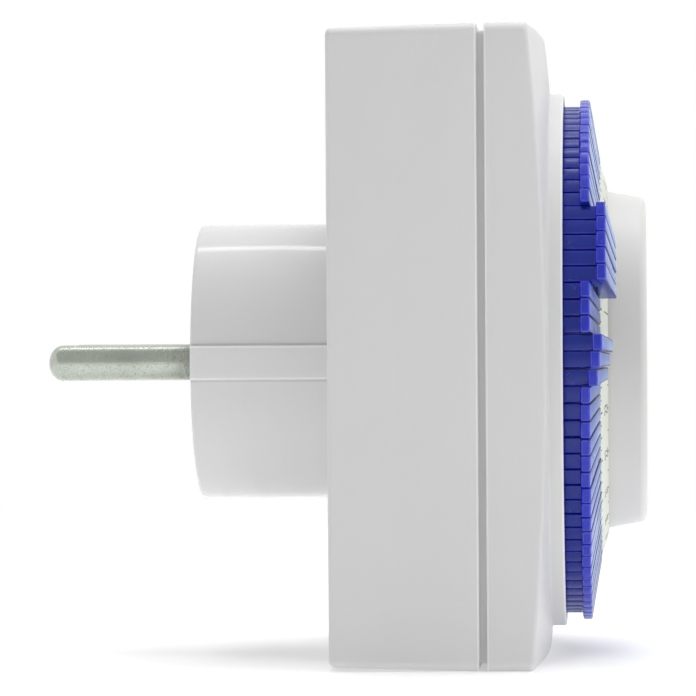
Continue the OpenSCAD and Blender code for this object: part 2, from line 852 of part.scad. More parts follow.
module motor_screws() {
  color(steel) for (side = [-1, 1]) {
    screw(
      motor_pos + [side * motor_ear, 0], y_motor + sheet, y_bridge, small_screw_r,
      small_head_r, small_head_t
    );
  }
}

// a lead through a list of points
module lead(points, r) {
  for (i = [0 : len(points) - 2]) {
    run = points[i + 1] - points[i];
    translate(points[i]) rotate([0, acos(run[2] / norm(run)), atan2(run[1], run[0])])
      cylinder(h = norm(run), r = r, $fn = 24);
  }
  for (p = points) translate(p) sphere(r = r * 1.15, $fn = 24);
}

module motor_leads() {
  x = 1.6;
  top = motor_pos[1] + motor_r - 0.6;
  y_end = y_inner - lead_r - gap;
  z_low = -contact_h / 2 - 4 * lead_r;
  y_strip = strip_y + sheet / 2;
  z_strip = strip_z + strip_w / 2 - gap;
  color(copper) {
    lead([
      [x, y_lead, top], [x, y_lead, z_low], [x, y_end, z_low], [pin_x - 1, y_end, z_low],
      [pin_x - 1, y_end, -contact_h / 2 - lead_r - 0.1]
    ], lead_r);
    lead([
      [-x, y_lead, top], [-x, y_lead, z_strip], [-x, y_strip, z_strip],
      [-pin_x + strip_w / 2 + lead_r + 0.1, y_strip, z_strip]
    ], lead_r);
  }
}

module gear_axles() {
  color(steel) for (spot = [first_pos, second_pos]) {
    rod(y_plate + 0.7, y_motor, axle_r, spot);
  }
}

// a wheel and its pinion in one piece
module compound(at, teeth, phase, y_wheel_side, y_pinion_side) {
  bore = axle_r + run_fit;
  gear(teeth, train_module, y_wheel_side, y_wheel_side + gear_t, at, phase, bore);
  gear(
    pinion_teeth, train_module, y_pinion_side, y_wheel_side + eps, at, phase, bore
  );
}

module first_gear() {
  color(off_white) compound(first_pos, first_teeth, first_phase, y_layer_c, y_layer_b);
}

module second_gear() {
  color(off_white) compound(second_pos, second_teeth, second_phase, y_layer_b, y_layer_a);
}

module clutch_wheel() {
  color(brass) gear(
    clutch_teeth, train_module, y_layer_a, y_layer_a + gear_t, drive_pos, clutch_phase,
    shaft_r + run_fit
  );
}

module drive_pinion() {
  y0 = y_flange + 0.3;
  color(steel) {
    gear(drive_teeth, dial_module, y0, y_flange_back - gap, drive_pos, drive_phase, shaft_r / 2);
    rod(y0, y_motor + 0.3, shaft_r, drive_pos);
  }
}

// ---- dial
module dial_wheel() {
  bore = collar_r + run_fit;
  color(blue_plastic) difference() {
    union() {
      turned() polygon([
        [bore, y_wheel], [hub_r, y_wheel], [hub_r, y_flange + eps], [hub_r - hub_wall, y_flange + eps],
        [hub_r - hub_wall, y_wheel + 1.4], [bore + hub_wall, y_wheel + 1.4],
        [bore + hub_wall, y_flange_back], [bore, y_flange_back]
      ]);
      gear(dial_teeth, dial_module, y_flange, y_flange_back, [0, 0], 0, hub_r - hub_wall);
    }
    for (i = [0 : tappets - 1]) {
      rotate([0, first_angle + i * pitch, 0])
        translate([-tip_in_r - tip_r - gap, y_flange - 1, -tip_w / 2 - gap])
          cube([tip_r + 2 * gap, flange_t + 2, tip_w + 2 * gap]);
    }
  }
}

module scale_ring() {
  inner = collar_r + dial_gap;
  outer = head_in_r - gap;
  color(off_white) turned() polygon([
    [inner, y_wheel], [outer, y_wheel], [outer, y_crest + 0.1], [inner, y_scale]
  ]);
}

// one tappet on the -X side, at its angle above the horizontal
module tappet(i) {
  raise = lift(i);
  shoulder = y_flange - gap;
  rotate([0, first_angle + i * pitch, 0]) translate([0, -raise, 0]) {
    wedge(tappet_angle) polygon([
      [head_in_r, y_head], [blade_in_r, y_head], [blade_in_r, shoulder], [blade_r, shoulder],
      [blade_r, y_head], [head_r, y_head], [head_r, y_edge], [head_in_r, y_crest]
    ]);
    block(
      -tip_in_r - tip_r, -tip_in_r, shoulder - eps, y_flange_back + tappet_travel + 0.1,
      -tip_w / 2, tip_w / 2
    );
  }
}

// a slice of a turned shape, centred on the -X side
module wedge(angle) {
  rotate([-90, 0, 0]) rotate([0, 0, 180 - angle / 2]) rotate_extrude(angle = angle) children();
}

// how far a tappet stands out of its pressed place
function lift(i) =
  len(search(i, concat(raised, second_time))) > 0 ? tappet_travel
  : len([for (p = part_way) if (p[0] == i) 1]) > 0
    ? [for (p = part_way) if (p[0] == i) p[1]][0]
    : 0;

module tappets_pressed() {
  color(blue_plastic) for (i = [first_single + singles : first_single + tappets - 1]) {
    if (len(search(i, second_time)) == 0) tappet(i);
  }
}

module tappets_raised() {
  color(blue_plastic) for (i = second_time) tappet(i);
}

module single(n) {
  color(blue_plastic) tappet(first_single + n - 1);
}

// ---- switch
module switch_case() {
  w = switch_w / 2;
  h = switch_h / 2;
  color(black_plastic) difference() {
    union() {
      block(switch_x - w, switch_x + w, y_switch, y_switch_base, switch_z - h, switch_z + h);
      for (x = lug_x) {
        rod(y_switch, y_switch + lug_t, 2, [x, lug_z]);
        block(x - 2, x + 2, y_switch, y_switch + lug_t, switch_z + h - 0.5, lug_z);
      }
    }
    block(
      switch_x - w + switch_wall, switch_x + w - switch_wall, y_switch + switch_wall,
      y_switch_base + 1, switch_z - h + switch_wall, switch_z + h - switch_wall
    );
    rod(y_switch - 1, y_switch + 2, plunger_r + 0.1, [plunger_x, switch_z]);
    for (x = lug_x) rod(y_switch - 1, y_switch + 3, small_screw_r + 0.1, [x, lug_z]);
  }
}

common_x = switch_x + switch_w / 2 - 2.5;
load_x = switch_x - switch_w / 2 + 2.5;
y_blade = y_switch + 3.1;
blade_t = 0.3;
blade_h = 3;
roll_r = 0.45;

module switch_base() {
  w = switch_w / 2;
  h = switch_h / 2;
  color(off_white) difference() {
    block(switch_x - w, switch_x + w, y_switch_base, y_switch_base + 1, switch_z - h, switch_z + h);
    for (x = [common_x, load_x]) {
      block(x - 1.6, x + 1.6, y_switch_base - 1, y_switch_base + 2, switch_z - 0.6, switch_z + 0.6);
    }
  }
}

module common_terminal() {
  color(brass) {
    y_foot = y_blade + blade_t / 2 + roll_r;
    block(common_x - 1.5, common_x + 1.5, y_foot, strip_y, switch_z - 0.4, switch_z + 0.4);
    block(common_x - 1.5, common_x + 1.5, y_foot, y_switch_base, switch_z - 1.5, switch_z + 1.5);
  }
}

module load_terminal() {
  color(brass) {
    block(load_x - 1.5, load_x + 1.5, y_switch_base - 1, y_inner - sheet, switch_z - 0.4, switch_z + 0.4);
    rod(y_blade + blade_t + 0.7 + 0.15, y_switch_base, 1.3, [load_x, switch_z]);
  }
}

module switch_blade() {
  half = blade_h / 2;
  color(copper) {
    block(load_x - 1.6, common_x, y_blade, y_blade + blade_t, switch_z - half, switch_z + half);
    // rolled end that rocks on the common terminal
    translate([common_x, y_blade + blade_t / 2, switch_z - half])
      cylinder(h = blade_h, r = roll_r);
    rod(y_blade + blade_t - eps, y_blade + blade_t + 0.7, 1.2, [load_x, switch_z]);
  }
}

module switch_plunger() {
  y0 = y_lever + lever_t + gap;
  color(off_white) {
    rod(y0, y_blade - gap, plunger_r, [plunger_x, switch_z]);
    rod(y_blade - gap - 0.6, y_blade - gap, plunger_r + 0.6, [plunger_x, switch_z]);
  }
}

module switch_screws() {
  color(steel) for (x = lug_x) {
    screw(
      [x, lug_z], y_switch + lug_t, y_switch - small_grip, small_screw_r, small_head_r, small_head_t
    );
  }
}

module switch_lever() {
  z0 = nose_pos[1] - lever_h / 2;
  z1 = nose_pos[1] + lever_h / 2;
  y_tip = y_flange_back + tappet_travel + 0.1 + gap;
  tip_round = 0.8;
  color(off_white) difference() {
    union() {
      block(nose_pos[0] - 1, pivot_x, y_lever, y_lever + lever_t, z0, z1);
      block(nose_pos[0] - 1, nose_pos[0] + 1, y_tip + tip_round, y_lever + eps, z0, z1);
      translate([nose_pos[0], y_tip + tip_round, z0]) cylinder(h = lever_h, r = tip_round);
      translate([pivot_x, y_lever + lever_t / 2, z0]) cylinder(h = lever_h, r = 1.3);
    }
    translate([pivot_x, y_lever + lever_t / 2, z0 - 1])
      cylinder(h = lever_h + 2, r = lever_pin_r + run_fit);
  }
}

module lever_pin() {
  color(steel) translate([pivot_x, y_lever + lever_t / 2, nose_pos[1] - lever_pin_reach])
    cylinder(h = 2 * lever_pin_reach, r = lever_pin_r);
}

// ---- override slider on the +X side
module override_knob() {
  wall_x = case_w / 2;
  inner_x = wall_x - rear_wall - draft - 0.3;
  color(white_plastic) {
    block(
      wall_x + 0.1, wall_x + knob_rise, knob_y - knob_w / 2, knob_y + knob_w / 2,
      knob_z - knob_h / 2, knob_z + knob_h / 2
    );
    block(
      inner_x, wall_x + 0.2, knob_y - neck / 2, knob_y + neck / 2,
      knob_z - neck / 2, knob_z + neck / 2
    );
    for (k = [-2 : 2]) {
      block(
        wall_x + knob_rise - eps, wall_x + knob_rise + 0.3, knob_y - knob_w / 2 + 0.4,
        knob_y + knob_w / 2 - 0.4, knob_z + k * 1.4 - 0.3, knob_z + k * 1.4 + 0.3
      );
    }
  }
}

module override_bar() {
  inner_x = case_w / 2 - rear_wall - draft - 0.3;
  y0 = y_plate_back + 0.3;
  y1 = y0 + bar_t;
  color(off_white) {
    block(
      inner_x - 1, inner_x, y0, knob_y + knob_w / 2 + 1, knob_z - knob_h / 2, bar_z + bar_h
    );
    block(bar_tip_x[0], inner_x, y0, y1, bar_z, bar_z + bar_h);
    block(bar_tip_x[0], bar_tip_x[1], y0, y1, bar_tip_z, bar_z + eps);
  }
}

rear_case();
front_cover();
case_screws();
plug_pin_left();
plug_pin_right();
pin_carrier();
contact_live();
contact_neutral();
live_strip();
socket_insert();
socket_screws();
shutter();
shutter_clip();
chassis_plate();
gear_bridge();
bridge_screws();
motor_plate();
motor_case();
coil_bobbin();
coil_winding();
rotor_magnet();
rotor_shaft();
motor_pinion();
motor_screws();
motor_leads();
gear_axles();
first_gear();
second_gear();
clutch_wheel();
drive_pinion();
dial_wheel();
scale_ring();
tappets_pressed();
tappets_raised();
single(1);  // tappet_1
single(2);  // tappet_2
single(3);  // tappet_3
single(4);  // tappet_4
single(5);  // tappet_5
single(6);  // tappet_6
single(7);  // tappet_7
single(8);  // tappet_8
single(9);  // tappet_9
single(10);  // tappet_10
single(11);  // tappet_11
single(12);  // tappet_12
single(13);  // tappet_13
switch_case();
switch_base();
common_terminal();
load_terminal();
switch_blade();
switch_plunger();
switch_screws();
switch_lever();
lever_pin();
override_knob();
override_bar();
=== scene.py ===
"""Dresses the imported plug-in timer switch: casing, plug, tappet dial, scale, socket and studio."""

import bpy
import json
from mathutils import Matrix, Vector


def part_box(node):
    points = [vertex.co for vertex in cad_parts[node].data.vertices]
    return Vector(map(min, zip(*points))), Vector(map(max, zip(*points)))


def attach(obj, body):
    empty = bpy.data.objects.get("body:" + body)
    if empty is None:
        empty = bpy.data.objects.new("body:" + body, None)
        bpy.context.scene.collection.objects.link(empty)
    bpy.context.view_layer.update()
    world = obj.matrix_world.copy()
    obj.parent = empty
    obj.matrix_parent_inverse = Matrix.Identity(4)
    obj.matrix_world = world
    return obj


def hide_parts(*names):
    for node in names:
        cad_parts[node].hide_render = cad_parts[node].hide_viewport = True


bl_info = {
    "name": "Plug-in Timer Switch",
    "version": (1, 0, 0),
    "blender": (4, 5, 0),
    "location": "View3D > Sidebar > Timer",
    "description": "Builds and finishes the pieces of a plug-in timer switch round its CAD frame",
    "category": "Object",
}

import json
import math
import random
from functools import cached_property

import bmesh
import bpy
from bpy.props import FloatProperty, FloatVectorProperty, PointerProperty
from bpy.types import Operator, Panel, PropertyGroup
from mathutils import Matrix, Vector

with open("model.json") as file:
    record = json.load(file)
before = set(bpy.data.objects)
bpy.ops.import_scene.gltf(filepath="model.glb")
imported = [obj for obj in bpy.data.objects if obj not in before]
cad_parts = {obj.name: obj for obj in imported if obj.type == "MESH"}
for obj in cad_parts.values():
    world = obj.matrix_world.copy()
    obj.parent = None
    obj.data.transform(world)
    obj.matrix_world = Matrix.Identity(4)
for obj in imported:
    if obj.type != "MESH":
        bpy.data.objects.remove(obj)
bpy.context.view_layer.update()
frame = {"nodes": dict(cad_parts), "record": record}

# Lengths in the builders are millimetres; Blender's unit is the metre.
MM = 0.001


def low(node, axis):
    """A CAD node's lowest coordinate on an axis, in millimetres."""
    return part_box(node)[0][axis] / MM


def high(node, axis):
    """A CAD node's highest coordinate on an axis, in millimetres."""
    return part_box(node)[1][axis] / MM


# ---- sizes
# the casing's outline and walls
HALF_W = high("front_cover", 0)
TOP = high("front_cover", 2)
BOTTOM = low("front_cover", 2)
MIDDLE = (TOP + BOTTOM) / 2
HALF_H = (TOP - BOTTOM) / 2
COVER_WALL = 1.8
REAR_WALL = 2.2
DRAFT = 0.5
SEAM_DEPTH = 0.9
# places along the plug's axis: the plug's face is at 0, and the dial in front at -y
Y_PLUG_WALL = -3.5
Y_BACK = -19.5
Y_INNER = -21.7
Y_SEAM = -38.9
Y_COVER = -39.9
Y_RING = low("front_cover", 1)
Y_FRONT = Y_RING + 1.95
# round forms
PLUG_R = 18.75
RIB_W = 4.5
PIN_X = 9.5
NECK_R = 2.22
RING_R = 36.2
BORE_R = 34.9
SCREW_HEAD_R = 2.8
SCREW_LOW = (high("motor_case", 0) + 4.2, low("case_screws", 2) + SCREW_HEAD_R)
SCREW_HIGH = (high("case_screws", 0) - SCREW_HEAD_R, high("case_screws", 2) - SCREW_HEAD_R)
SCREW_SPOTS = [(s * x, z) for s in (1, -1) for x, z in (SCREW_LOW, SCREW_HIGH)]
# the tappets, numbered round the dial from the -X side
TAPPETS = 96
PITCH = math.radians(360 / TAPPETS)
FIRST_ANGLE = math.radians(0.5)
FIRST_SINGLE = -2
SINGLES = 13
TRAVEL = 2.1
FIRST_TIME, SECOND_TIME = range(5, 10), range(53, 58)
# how far each tappet that isn't pressed stands out
LIFTS = {-1: 1.0, 0: 1.3, 1: 1.6, **dict.fromkeys((*FIRST_TIME, *SECOND_TIME), TRAVEL)}

# how finely the casing's corners and outline and the rounded edges are divided
CORNER_STEPS = 8
SPOKES = 120
FINE = (0, 22.5, 45, 67.5, 90)
COARSE = (0, 30, 60, 90)
# edges that turn by more than this many degrees stay sharp
SHARP = 35

# the camera, in metres, and its tilt about its own view in degrees
EYE = (-0.580, -0.05625, 0.0050)
AIM = (0.0, -0.01993, 0.00178)
ROLL = -0.35
# each lamp's size and place in metres, and whether shiny pieces mirror it
LAMPS = {
    "top": ((0.9, 0.9), (0.10, -0.10, 0.97), False),
    "strip": ((1.2, 0.11), (0.42, -0.03, 1.12), True),
    "front": ((0.8, 0.8), (-0.10, -1.0, 0.30), False),
}


# ---- settings
def length(name, what, millimetres):
    return FloatProperty(
        name=name, description=what, default=millimetres * MM, min=0.0, unit="LENGTH", precision=5
    )


def colour(name, what, value):
    return FloatVectorProperty(
        name=name, description=what, default=value, size=3, subtype="COLOR", min=0.0, max=1.0
    )


def share(name, what, value):
    return FloatProperty(
        name=name, description=what, default=value, min=0.0, max=1.0, subtype="FACTOR"
    )


def level(name, what, value):
    return FloatProperty(name=name, description=what, default=value, min=0.0)


class TimerCasing(PropertyGroup):
    """Sizes of the two casing shells and the plug body."""

    corner: length("Corner radius", "Radius of the casing's long corners", 1.6)
    edge: length("Front edge", "Radius of the edge round the front face", 0.5)
    back_edge: length("Back edge", "Radius of the edge round the back", 0.7)
    seam_edge: length("Seam edge", "Radius of the two edges along the groove", 0.22)
    flare: length("Ring foot", "Width of the slope round the raised ring's foot", 0.3)
    rim: length("Ring rim", "Radius of the raised ring's outer rim", 0.28)
    plug: length("Plug radius", "Radius of the round plug body", PLUG_R)
    rib: length("Rib rise", "How far the flat rib stands out of the plug", 0.6)
    rib_width: length("Rib width", "Width of the flat rib on the plug", RIB_W)
    dome: length("Dome radius", "Radius of the domed front face", 417)


class TimerDial(PropertyGroup):
    """Sizes of the tappets, the scale and the socket collar."""

    chamfer: length("Tappet edge", "Rounding of a tappet's edges", 0.20)
    numeral: length("Numeral height", "Height of the hour numbers", 1.30)
    tick: length("Tick width", "Width of an hour mark on the scale", 0.24)
    lip: length("Collar lip", "Radius of the collar's front edge", 1.15)
    print_rise: length("Print thickness", "Thickness of the printed marks", 0.012)


class TimerFinish(PropertyGroup):
    """Colours and gloss of the visible plastics and metals."""

    casing: colour("Casing", "Colour of the casing's plastic", (0.715, 0.715, 0.715))
    collar: colour("Collar", "Colour of the socket insert", (0.72, 0.712, 0.692))
    tappet: colour("Tappets", "Colour of the tappets and the dial", (0.018, 0.028, 0.46))
    scale: colour("Scale", "Colour of the scale ring", (0.76, 0.79, 0.70))
    ink: colour("Ink", "Colour of the printed marks", (0.09, 0.10, 0.08))
    pin: colour("Pins", "Colour of the plated pins", (0.52, 0.56, 0.495))
    gloss: share("Casing roughness", "Roughness of the casing's flat faces", 0.42)
    polish: share("Plug roughness", "Roughness of the polished plug body", 0.11)


class TimerStudio(PropertyGroup):
    """Levels of the lamps, and the camera's lens."""

    ambient: level("Ambient", "Even light from all round", 0.36)
    top: level("Top lamp", "Power of the lamp above", 8.2)
    strip: level("Strip lamp", "Power of the narrow lamp above", 1.5)
    front: level("Front lamp", "Power of the lamp in front", 1.6)
    lens: level("Lens", "Focal length in millimetres", 219.2)
    card: share("Card", "Tone of the grey card that shiny pieces mirror", 0.62)


# ---- shader tools
class Wire:
    """A shader socket; sums and products of it add Math nodes."""

    def __init__(self, recipe, socket):
        self.recipe, self.socket = recipe, socket

    def math(self, operation, *terms):
        return self.recipe.node("ShaderNodeMath", {"operation": operation}, dict(enumerate(terms)))

    def __add__(self, other):
        return self.math("ADD", self, other)

    __radd__ = __add__

    def __sub__(self, other):
        return self.math("SUBTRACT", self, other)

    def __rsub__(self, other):
        return self.math("SUBTRACT", other, self)

    def __mul__(self, other):
        return self.math("MULTIPLY", self, other)

    __rmul__ = __mul__

    def __or__(self, other):
        """The greater of the two."""
        return self.math("MAXIMUM", self, other)

    def size(self):
        return self.math("ABSOLUTE", self)

    def step(self, start, end):
        """0 below start, 1 above end, straight between."""
        return self.recipe.node(
            "ShaderNodeMapRange", {"clamp": True},
            {"Value": self, "From Min": start, "From Max": end},
        )

    def band(self, start, end, soft):
        """1 between start and end, 0 beyond them, with soft edges."""
        return self.step(start - soft, start) * (1 - self.step(end, end + soft))


class Recipe:
    """Nodes of one material or world. node() makes any of them: type, settings, then inputs."""

    def __init__(self, name, owner=None):
        self.material = owner or bpy.data.materials.new(name)
        self.material.use_nodes = True
        self.tree = self.material.node_tree
        self.tree.nodes.clear()

    def node(self, kind, settings=None, inputs=None, output=0):
        made = self.tree.nodes.new(kind)
        for key, value in (settings or {}).items():
            setattr(made, key, value)
        for key, value in (inputs or {}).items():
            socket = made.inputs[key]
            if isinstance(value, Wire):
                self.tree.links.new(value.socket, socket)
            else:
                socket.default_value = value
        return Wire(self, made.outputs[output]) if len(made.outputs) else made

    def ray(self, kind):
        """1 for rays of one kind, else 0."""
        return self.node("ShaderNodeLightPath", output=f"Is {kind} Ray")

    def seen(self):
        """1 for rays that show a surface, and 0 for those that carry its light."""
        return self.ray("Camera") | self.ray("Glossy") | self.ray("Transmission")

    @cached_property
    def place(self):
        """Where a point is on its object, in metres."""
        return self.node("ShaderNodeTexCoord", output="Object")

    def facing(self, axis):
        """How far a face looks along one of its object's axes."""
        return self.part(self.node("ShaderNodeTexCoord", output="Normal"), axis)

    def part(self, vector, axis):
        return self.node("ShaderNodeSeparateXYZ", inputs={0: vector}, output=axis)

    def stretch(self, vector, scale):
        return self.node("ShaderNodeVectorMath", {"operation": "MULTIPLY"}, {0: vector, 1: scale})

    def reach(self, vector):
        """How long a vector is."""
        return self.node("ShaderNodeVectorMath", {"operation": "LENGTH"}, {0: vector}, "Value")

    def noise(self, scale, detail, rough=0.5, warp=0.0, stretch=(1, 1, 1)):
        """Noise over the object, finer along the axes that are stretched."""
        place = self.place if stretch == (1, 1, 1) else self.stretch(self.place, stretch)
        return self.node("ShaderNodeTexNoise", inputs={
            "Vector": place, "Scale": scale, "Detail": detail, "Roughness": rough,
            "Distortion": warp,
        })

    def mix(self, factor, first, second):
        """A blend of two colours."""
        first, second = (c if isinstance(c, Wire) else (*c, 1) for c in (first, second))
        return self.node(
            "ShaderNodeMix", {"data_type": "RGBA"}, {0: factor, 6: first, 7: second}, 2
        )

    def glow(self, strength):
        return self.node("ShaderNodeEmission", inputs={"Color": (1, 1, 1, 1), "Strength": strength})

    def blend(self, factor, first, second):
        """A blend of two shaders."""
        return self.node("ShaderNodeMixShader", inputs={0: factor, 1: first, 2: second})

    def both(self, first, second):
        """The sum of two shaders."""
        return self.node("ShaderNodeAddShader", inputs={0: first, 1: second})

    def bump(self, height, millimetres, strength):
        return self.node("ShaderNodeBump", inputs={
            "Height": height, "Distance": millimetres * MM, "Strength": strength,
        })

    def surface(self, shader):
        self.node("ShaderNodeOutputMaterial", inputs={"Surface": shader})
        return self.material

    def finish(self, base, rough, normal, metallic=0.0, **constants):
        """The Principled shader and the output."""
        inputs = {"Base Color": base, "Roughness": rough, "Normal": normal, "Metallic": metallic}
        inputs.update({key.replace("_", " "): value for key, value in constants.items()})
        return self.surface(self.node("ShaderNodeBsdfPrincipled", inputs=inputs))


# ---- finishes
def tinted(value, factor):
    return tuple(min(1.0, c * factor) for c in value)


def casing_finish(name, base, flat_rough, casing=None, polish=None):
    """Moulded white plastic: spark-eroded satin, faint flow marks, specks and handling rubs.

    With the casing's sizes, its plug body is polished; its rib edges and rims get painted
    highlights, and the rib's foot and the groove painted shade.
    """
    r = Recipe(name)
    cloud = r.noise(22, 3, 0.55)
    flow = r.noise(6, 3, 0.6, 0.6, (8, 60, 8))
    grain = r.noise(5200, 3, 0.6)
    rub = r.noise(1, 4, 0.65, 0.4, (300, 300, 1400)).step(0.60, 0.75)
    speck = r.node(
        "ShaderNodeTexVoronoi", {"feature": "F1"}, {"Vector": r.place, "Scale": 160}, "Distance"
    )
    rare = r.noise(90, 1).step(0.60, 0.66)
    dirt = (1 - speck.step(0.022, 0.05)) * rare
    tone = r.mix(cloud.step(0.3, 0.7), tinted(base, 0.985), tinted(base, 1.01))
    tone = r.mix(flow.step(0.45, 0.8) * 0.12, tone, tinted(base, 0.93))
    tone = r.mix(dirt * 0.35, tone, (0.30, 0.29, 0.27))
    rough = flat_rough + (cloud - 0.5) * 0.10 + rub * 0.06
    depth = 0.5
    if casing is not None:
        x, y, z = (r.part(r.place, axis) for axis in range(3))
        x, z = x.size(), z.size()
        start = (Y_BACK + 0.4) * MM
        along = y.step(start, start + 0.6 * MM)
        # the rib keeps the mould's satin and is a little lighter; a painted highlight lies on its
        # edges and painted shade in the crease at its foot
        wall, half = casing.plug, casing.rib_width / 2
        rib = x.step(wall + 0.25 * MM, wall + 0.4 * MM) * along
        edge = z.band(half - 0.25 * MM, half + 0.05 * MM, 0.05 * MM) * rib
        beside = x.step(wall - 0.8 * MM, wall - 0.6 * MM) * along
        foot = z.band(half + 0.08 * MM, half + 0.3 * MM, 0.08 * MM) * beside
        tone = r.mix(rib, tone, tinted(base, 1.05))
        # painted highlight along the rib's edges
        tone = r.mix(edge, tone, tinted(base, 1.20))
        # painted shade in the crease at the rib's foot
        tone = r.mix(foot * 0.8, tone, tinted(base, 0.82))
        # painted highlights on the rims along the groove and round the raised ring, and painted
        # shade inside the groove
        off_seam = (y - (Y_SEAM + Y_COVER) / 2 * MM).size()
        seam = off_seam.band(0.48 * MM, 0.72 * MM, 0.06 * MM)
        rim = 1 - y.step((Y_RING + 0.16) * MM, (Y_RING + 0.3) * MM)
        # painted highlight on the groove's rims and the ring's rim
        tone = r.mix((seam | rim) * 0.9, tone, tinted(base, 1.18))
        # painted shade inside the groove
        tone = r.mix(1 - off_seam.step(0.40 * MM, 0.46 * MM), tone, tinted(base, 0.84))
        along = along - rib * 0.7
        rough = rough * (1 - along) + (polish + (cloud - 0.5) * 0.06 + rub * 0.05) * along
        depth = 0.5 - along * 0.35
    height = grain * depth + flow * 0.6
    return r.finish(tone, rough, r.bump(height, 0.012, 0.6), IOR=1.5)


def casing_material():
    """The casing's finish, made once for all its pieces."""
    name, scene = "white_casing", bpy.context.scene
    finish = scene.timer_finish
    return bpy.data.materials.get(name) or casing_finish(
        name, tuple(finish.casing), finish.gloss, scene.timer_casing, finish.polish
    )


def on_heads(r):
    """1 on the tappets' heads and 0 on their blades, by the distance from the dial's axis."""
    return r.reach(r.stretch(r.place, (1, 0, 1))).step(35.0 * MM, 35.2 * MM)


def tappet_finish(name, base):
    """Blue acetal: glossy heads, blades darkened with painted shade and drag lines, front faces
    paler with a painted reflection, and pale rubbed patches.
    """
    r = Recipe(name)
    cloud = r.noise(160, 3, 0.6)
    grain = r.noise(4200, 3, 0.6)
    drag = r.noise(1, 3, 0.6, 0.0, (900, 60, 900))
    rub = r.noise(420, 5, 0.7, 0.3).step(0.56, 0.72)
    front = r.facing(1).size().step(0.4, 0.6)
    blade = (1 - on_heads(r)) * (1 - front)
    blade_painted_shade = (base[0] * 0.1, base[1] * 0.6, base[2] * 0.56)
    tone = r.mix(cloud.step(0.3, 0.7), tinted(base, 0.90), tinted(base, 1.10))
    # painted shade on the blades, which sit back between the heads and the ring
    tone = r.mix(blade * 0.95, tone, blade_painted_shade)
    # painted reflection: the slanted front faces are paler
    tone = r.mix(front * 0.75, tone, (0.08, 0.16, 0.55))
    tone = r.mix(rub * 0.10, tone, (0.10, 0.13, 0.50))
    rough = 0.14 + cloud * 0.12 + rub * 0.14
    height = grain * 0.35 + drag * 0.6
    return r.finish(
        tone, rough, r.bump(height, 0.01, 0.6), IOR=1.45, Sheen_Weight=1.0,
        Sheen_Roughness=0.23, Sheen_Tint=(0.58, 0.74, 1.0, 1)
    )


def tappet_edge_finish(name, base):
    """The tappets' rounded edges: painted highlights on the heads, painted shade on the blades,
    darkest where the fronts meet.
    """
    r = Recipe(name)
    cloud = r.noise(700, 3, 0.6)
    blade = 1 - on_heads(r)
    front = (0 - r.facing(1)).step(0.2, 0.4)
    # painted highlights on the edges of the heads
    tone = r.mix(cloud.step(0.35, 0.7), tinted(base, 1.4), (0.08, 0.10, 0.60))
    # painted shade on the blades' edges, darkest on the fronts between them
    tone = r.mix(blade * 0.8, tone, (0.012, 0.018, 0.36))
    tone = r.mix(blade * front, tone, (0.006, 0.010, 0.16))
    return r.finish(tone, 0.12 + cloud * 0.12, r.bump(cloud, 0.01, 0.4), IOR=1.45)


def scale_finish(name, base):
    """Pale scale plastic with a matt face and a slight yellowing."""
    r = Recipe(name)
    cloud = r.noise(120, 3, 0.6)
    grain = r.noise(5000, 3, 0.6)
    tone = r.mix(cloud.step(0.25, 0.75), tinted(base, 0.96), tinted(base, 1.03))
    return r.finish(tone, 0.42 + cloud * 0.14, r.bump(grain, 0.012, 0.5), IOR=1.5)


def ink_finish(name, base):
    """Printed ink, a little broken where the print is thin."""
    r = Recipe(name)
    thin = r.noise(3200, 4, 0.7)
    tone = r.mix(thin.step(0.4, 0.75), base, tinted(base, 2.2))
    return r.finish(tone, 0.55 + thin * 0.2, r.bump(thin, 0.006, 0.5))


def metal_finish(name, base, rough, lines, scratch, tarnish, pitted=0.0):
    """Bare or plated metal: drawn or rolled lines, scratches, pits and dull patches."""
    r = Recipe(name)
    cloud = r.noise(190, 4, 0.65)
    line = r.noise(1, 4, 0.7, 0.0, lines)
    across = tuple(900 if scale < 900 else 260 for scale in lines)
    worn = r.noise(1, 5, 0.75, 0.5, across).step(0.58, 0.70)
    pit = r.noise(2600, 2, 0.6).step(0.62 - pitted * 0.12, 0.74 - pitted * 0.14)
    tone = r.mix(cloud.step(0.3, 0.75) * tarnish, base, tinted(base, 0.62))
    tone = r.mix(worn * scratch * 0.6, tone, tinted(base, 1.25))
    tone = r.mix(pit * 0.35, tone, tinted(base, 0.45))
    soft = rough + cloud * 0.10 + worn * scratch * 0.25 + pit * 0.15
    height = line * 0.5 + worn * 0.5 - pit * 0.8
    return r.finish(tone, soft, r.bump(height, 0.03, 0.6), 1.0)


def moulded_finish(name, base, rough, spread):
    """Plain moulded plastic of the inner pieces: flow marks and a fine grain."""
    r = Recipe(name)
    cloud = r.noise(140, 3, 0.6)
    grain = r.noise(3800, 3, 0.6)
    flow = r.noise(1, 3, 0.6, 0.5, (60, 500, 60))
    tone = r.mix(cloud.step(0.3, 0.7), tinted(base, 1 - spread), tinted(base, 1 + spread))
    tone = r.mix(flow.step(0.5, 0.8) * 0.2, tone, tinted(base, 1.15))
    height = grain * 0.6 + flow * 0.5
    return r.finish(tone, rough + cloud * 0.15, r.bump(height, 0.02, 0.6))


def winding_finish(name, base):
    """Enamelled wire wound in close turns round the bobbin."""
    r = Recipe(name)
    turns = r.node(
        "ShaderNodeTexWave", {"wave_type": "BANDS", "bands_direction": "Y"},
        {"Vector": r.place, "Scale": 700, "Distortion": 0.6, "Detail": 1.0}, "Fac"
    )
    cloud = r.noise(300, 3, 0.6)
    tone = r.mix(turns, tinted(base, 0.35), base)
    tone = r.mix(cloud.step(0.5, 0.8) * 0.3, tone, tinted(base, 1.3))
    return r.finish(tone, 0.30 + cloud * 0.15, r.bump(turns, 0.1, 0.8), 0.75)


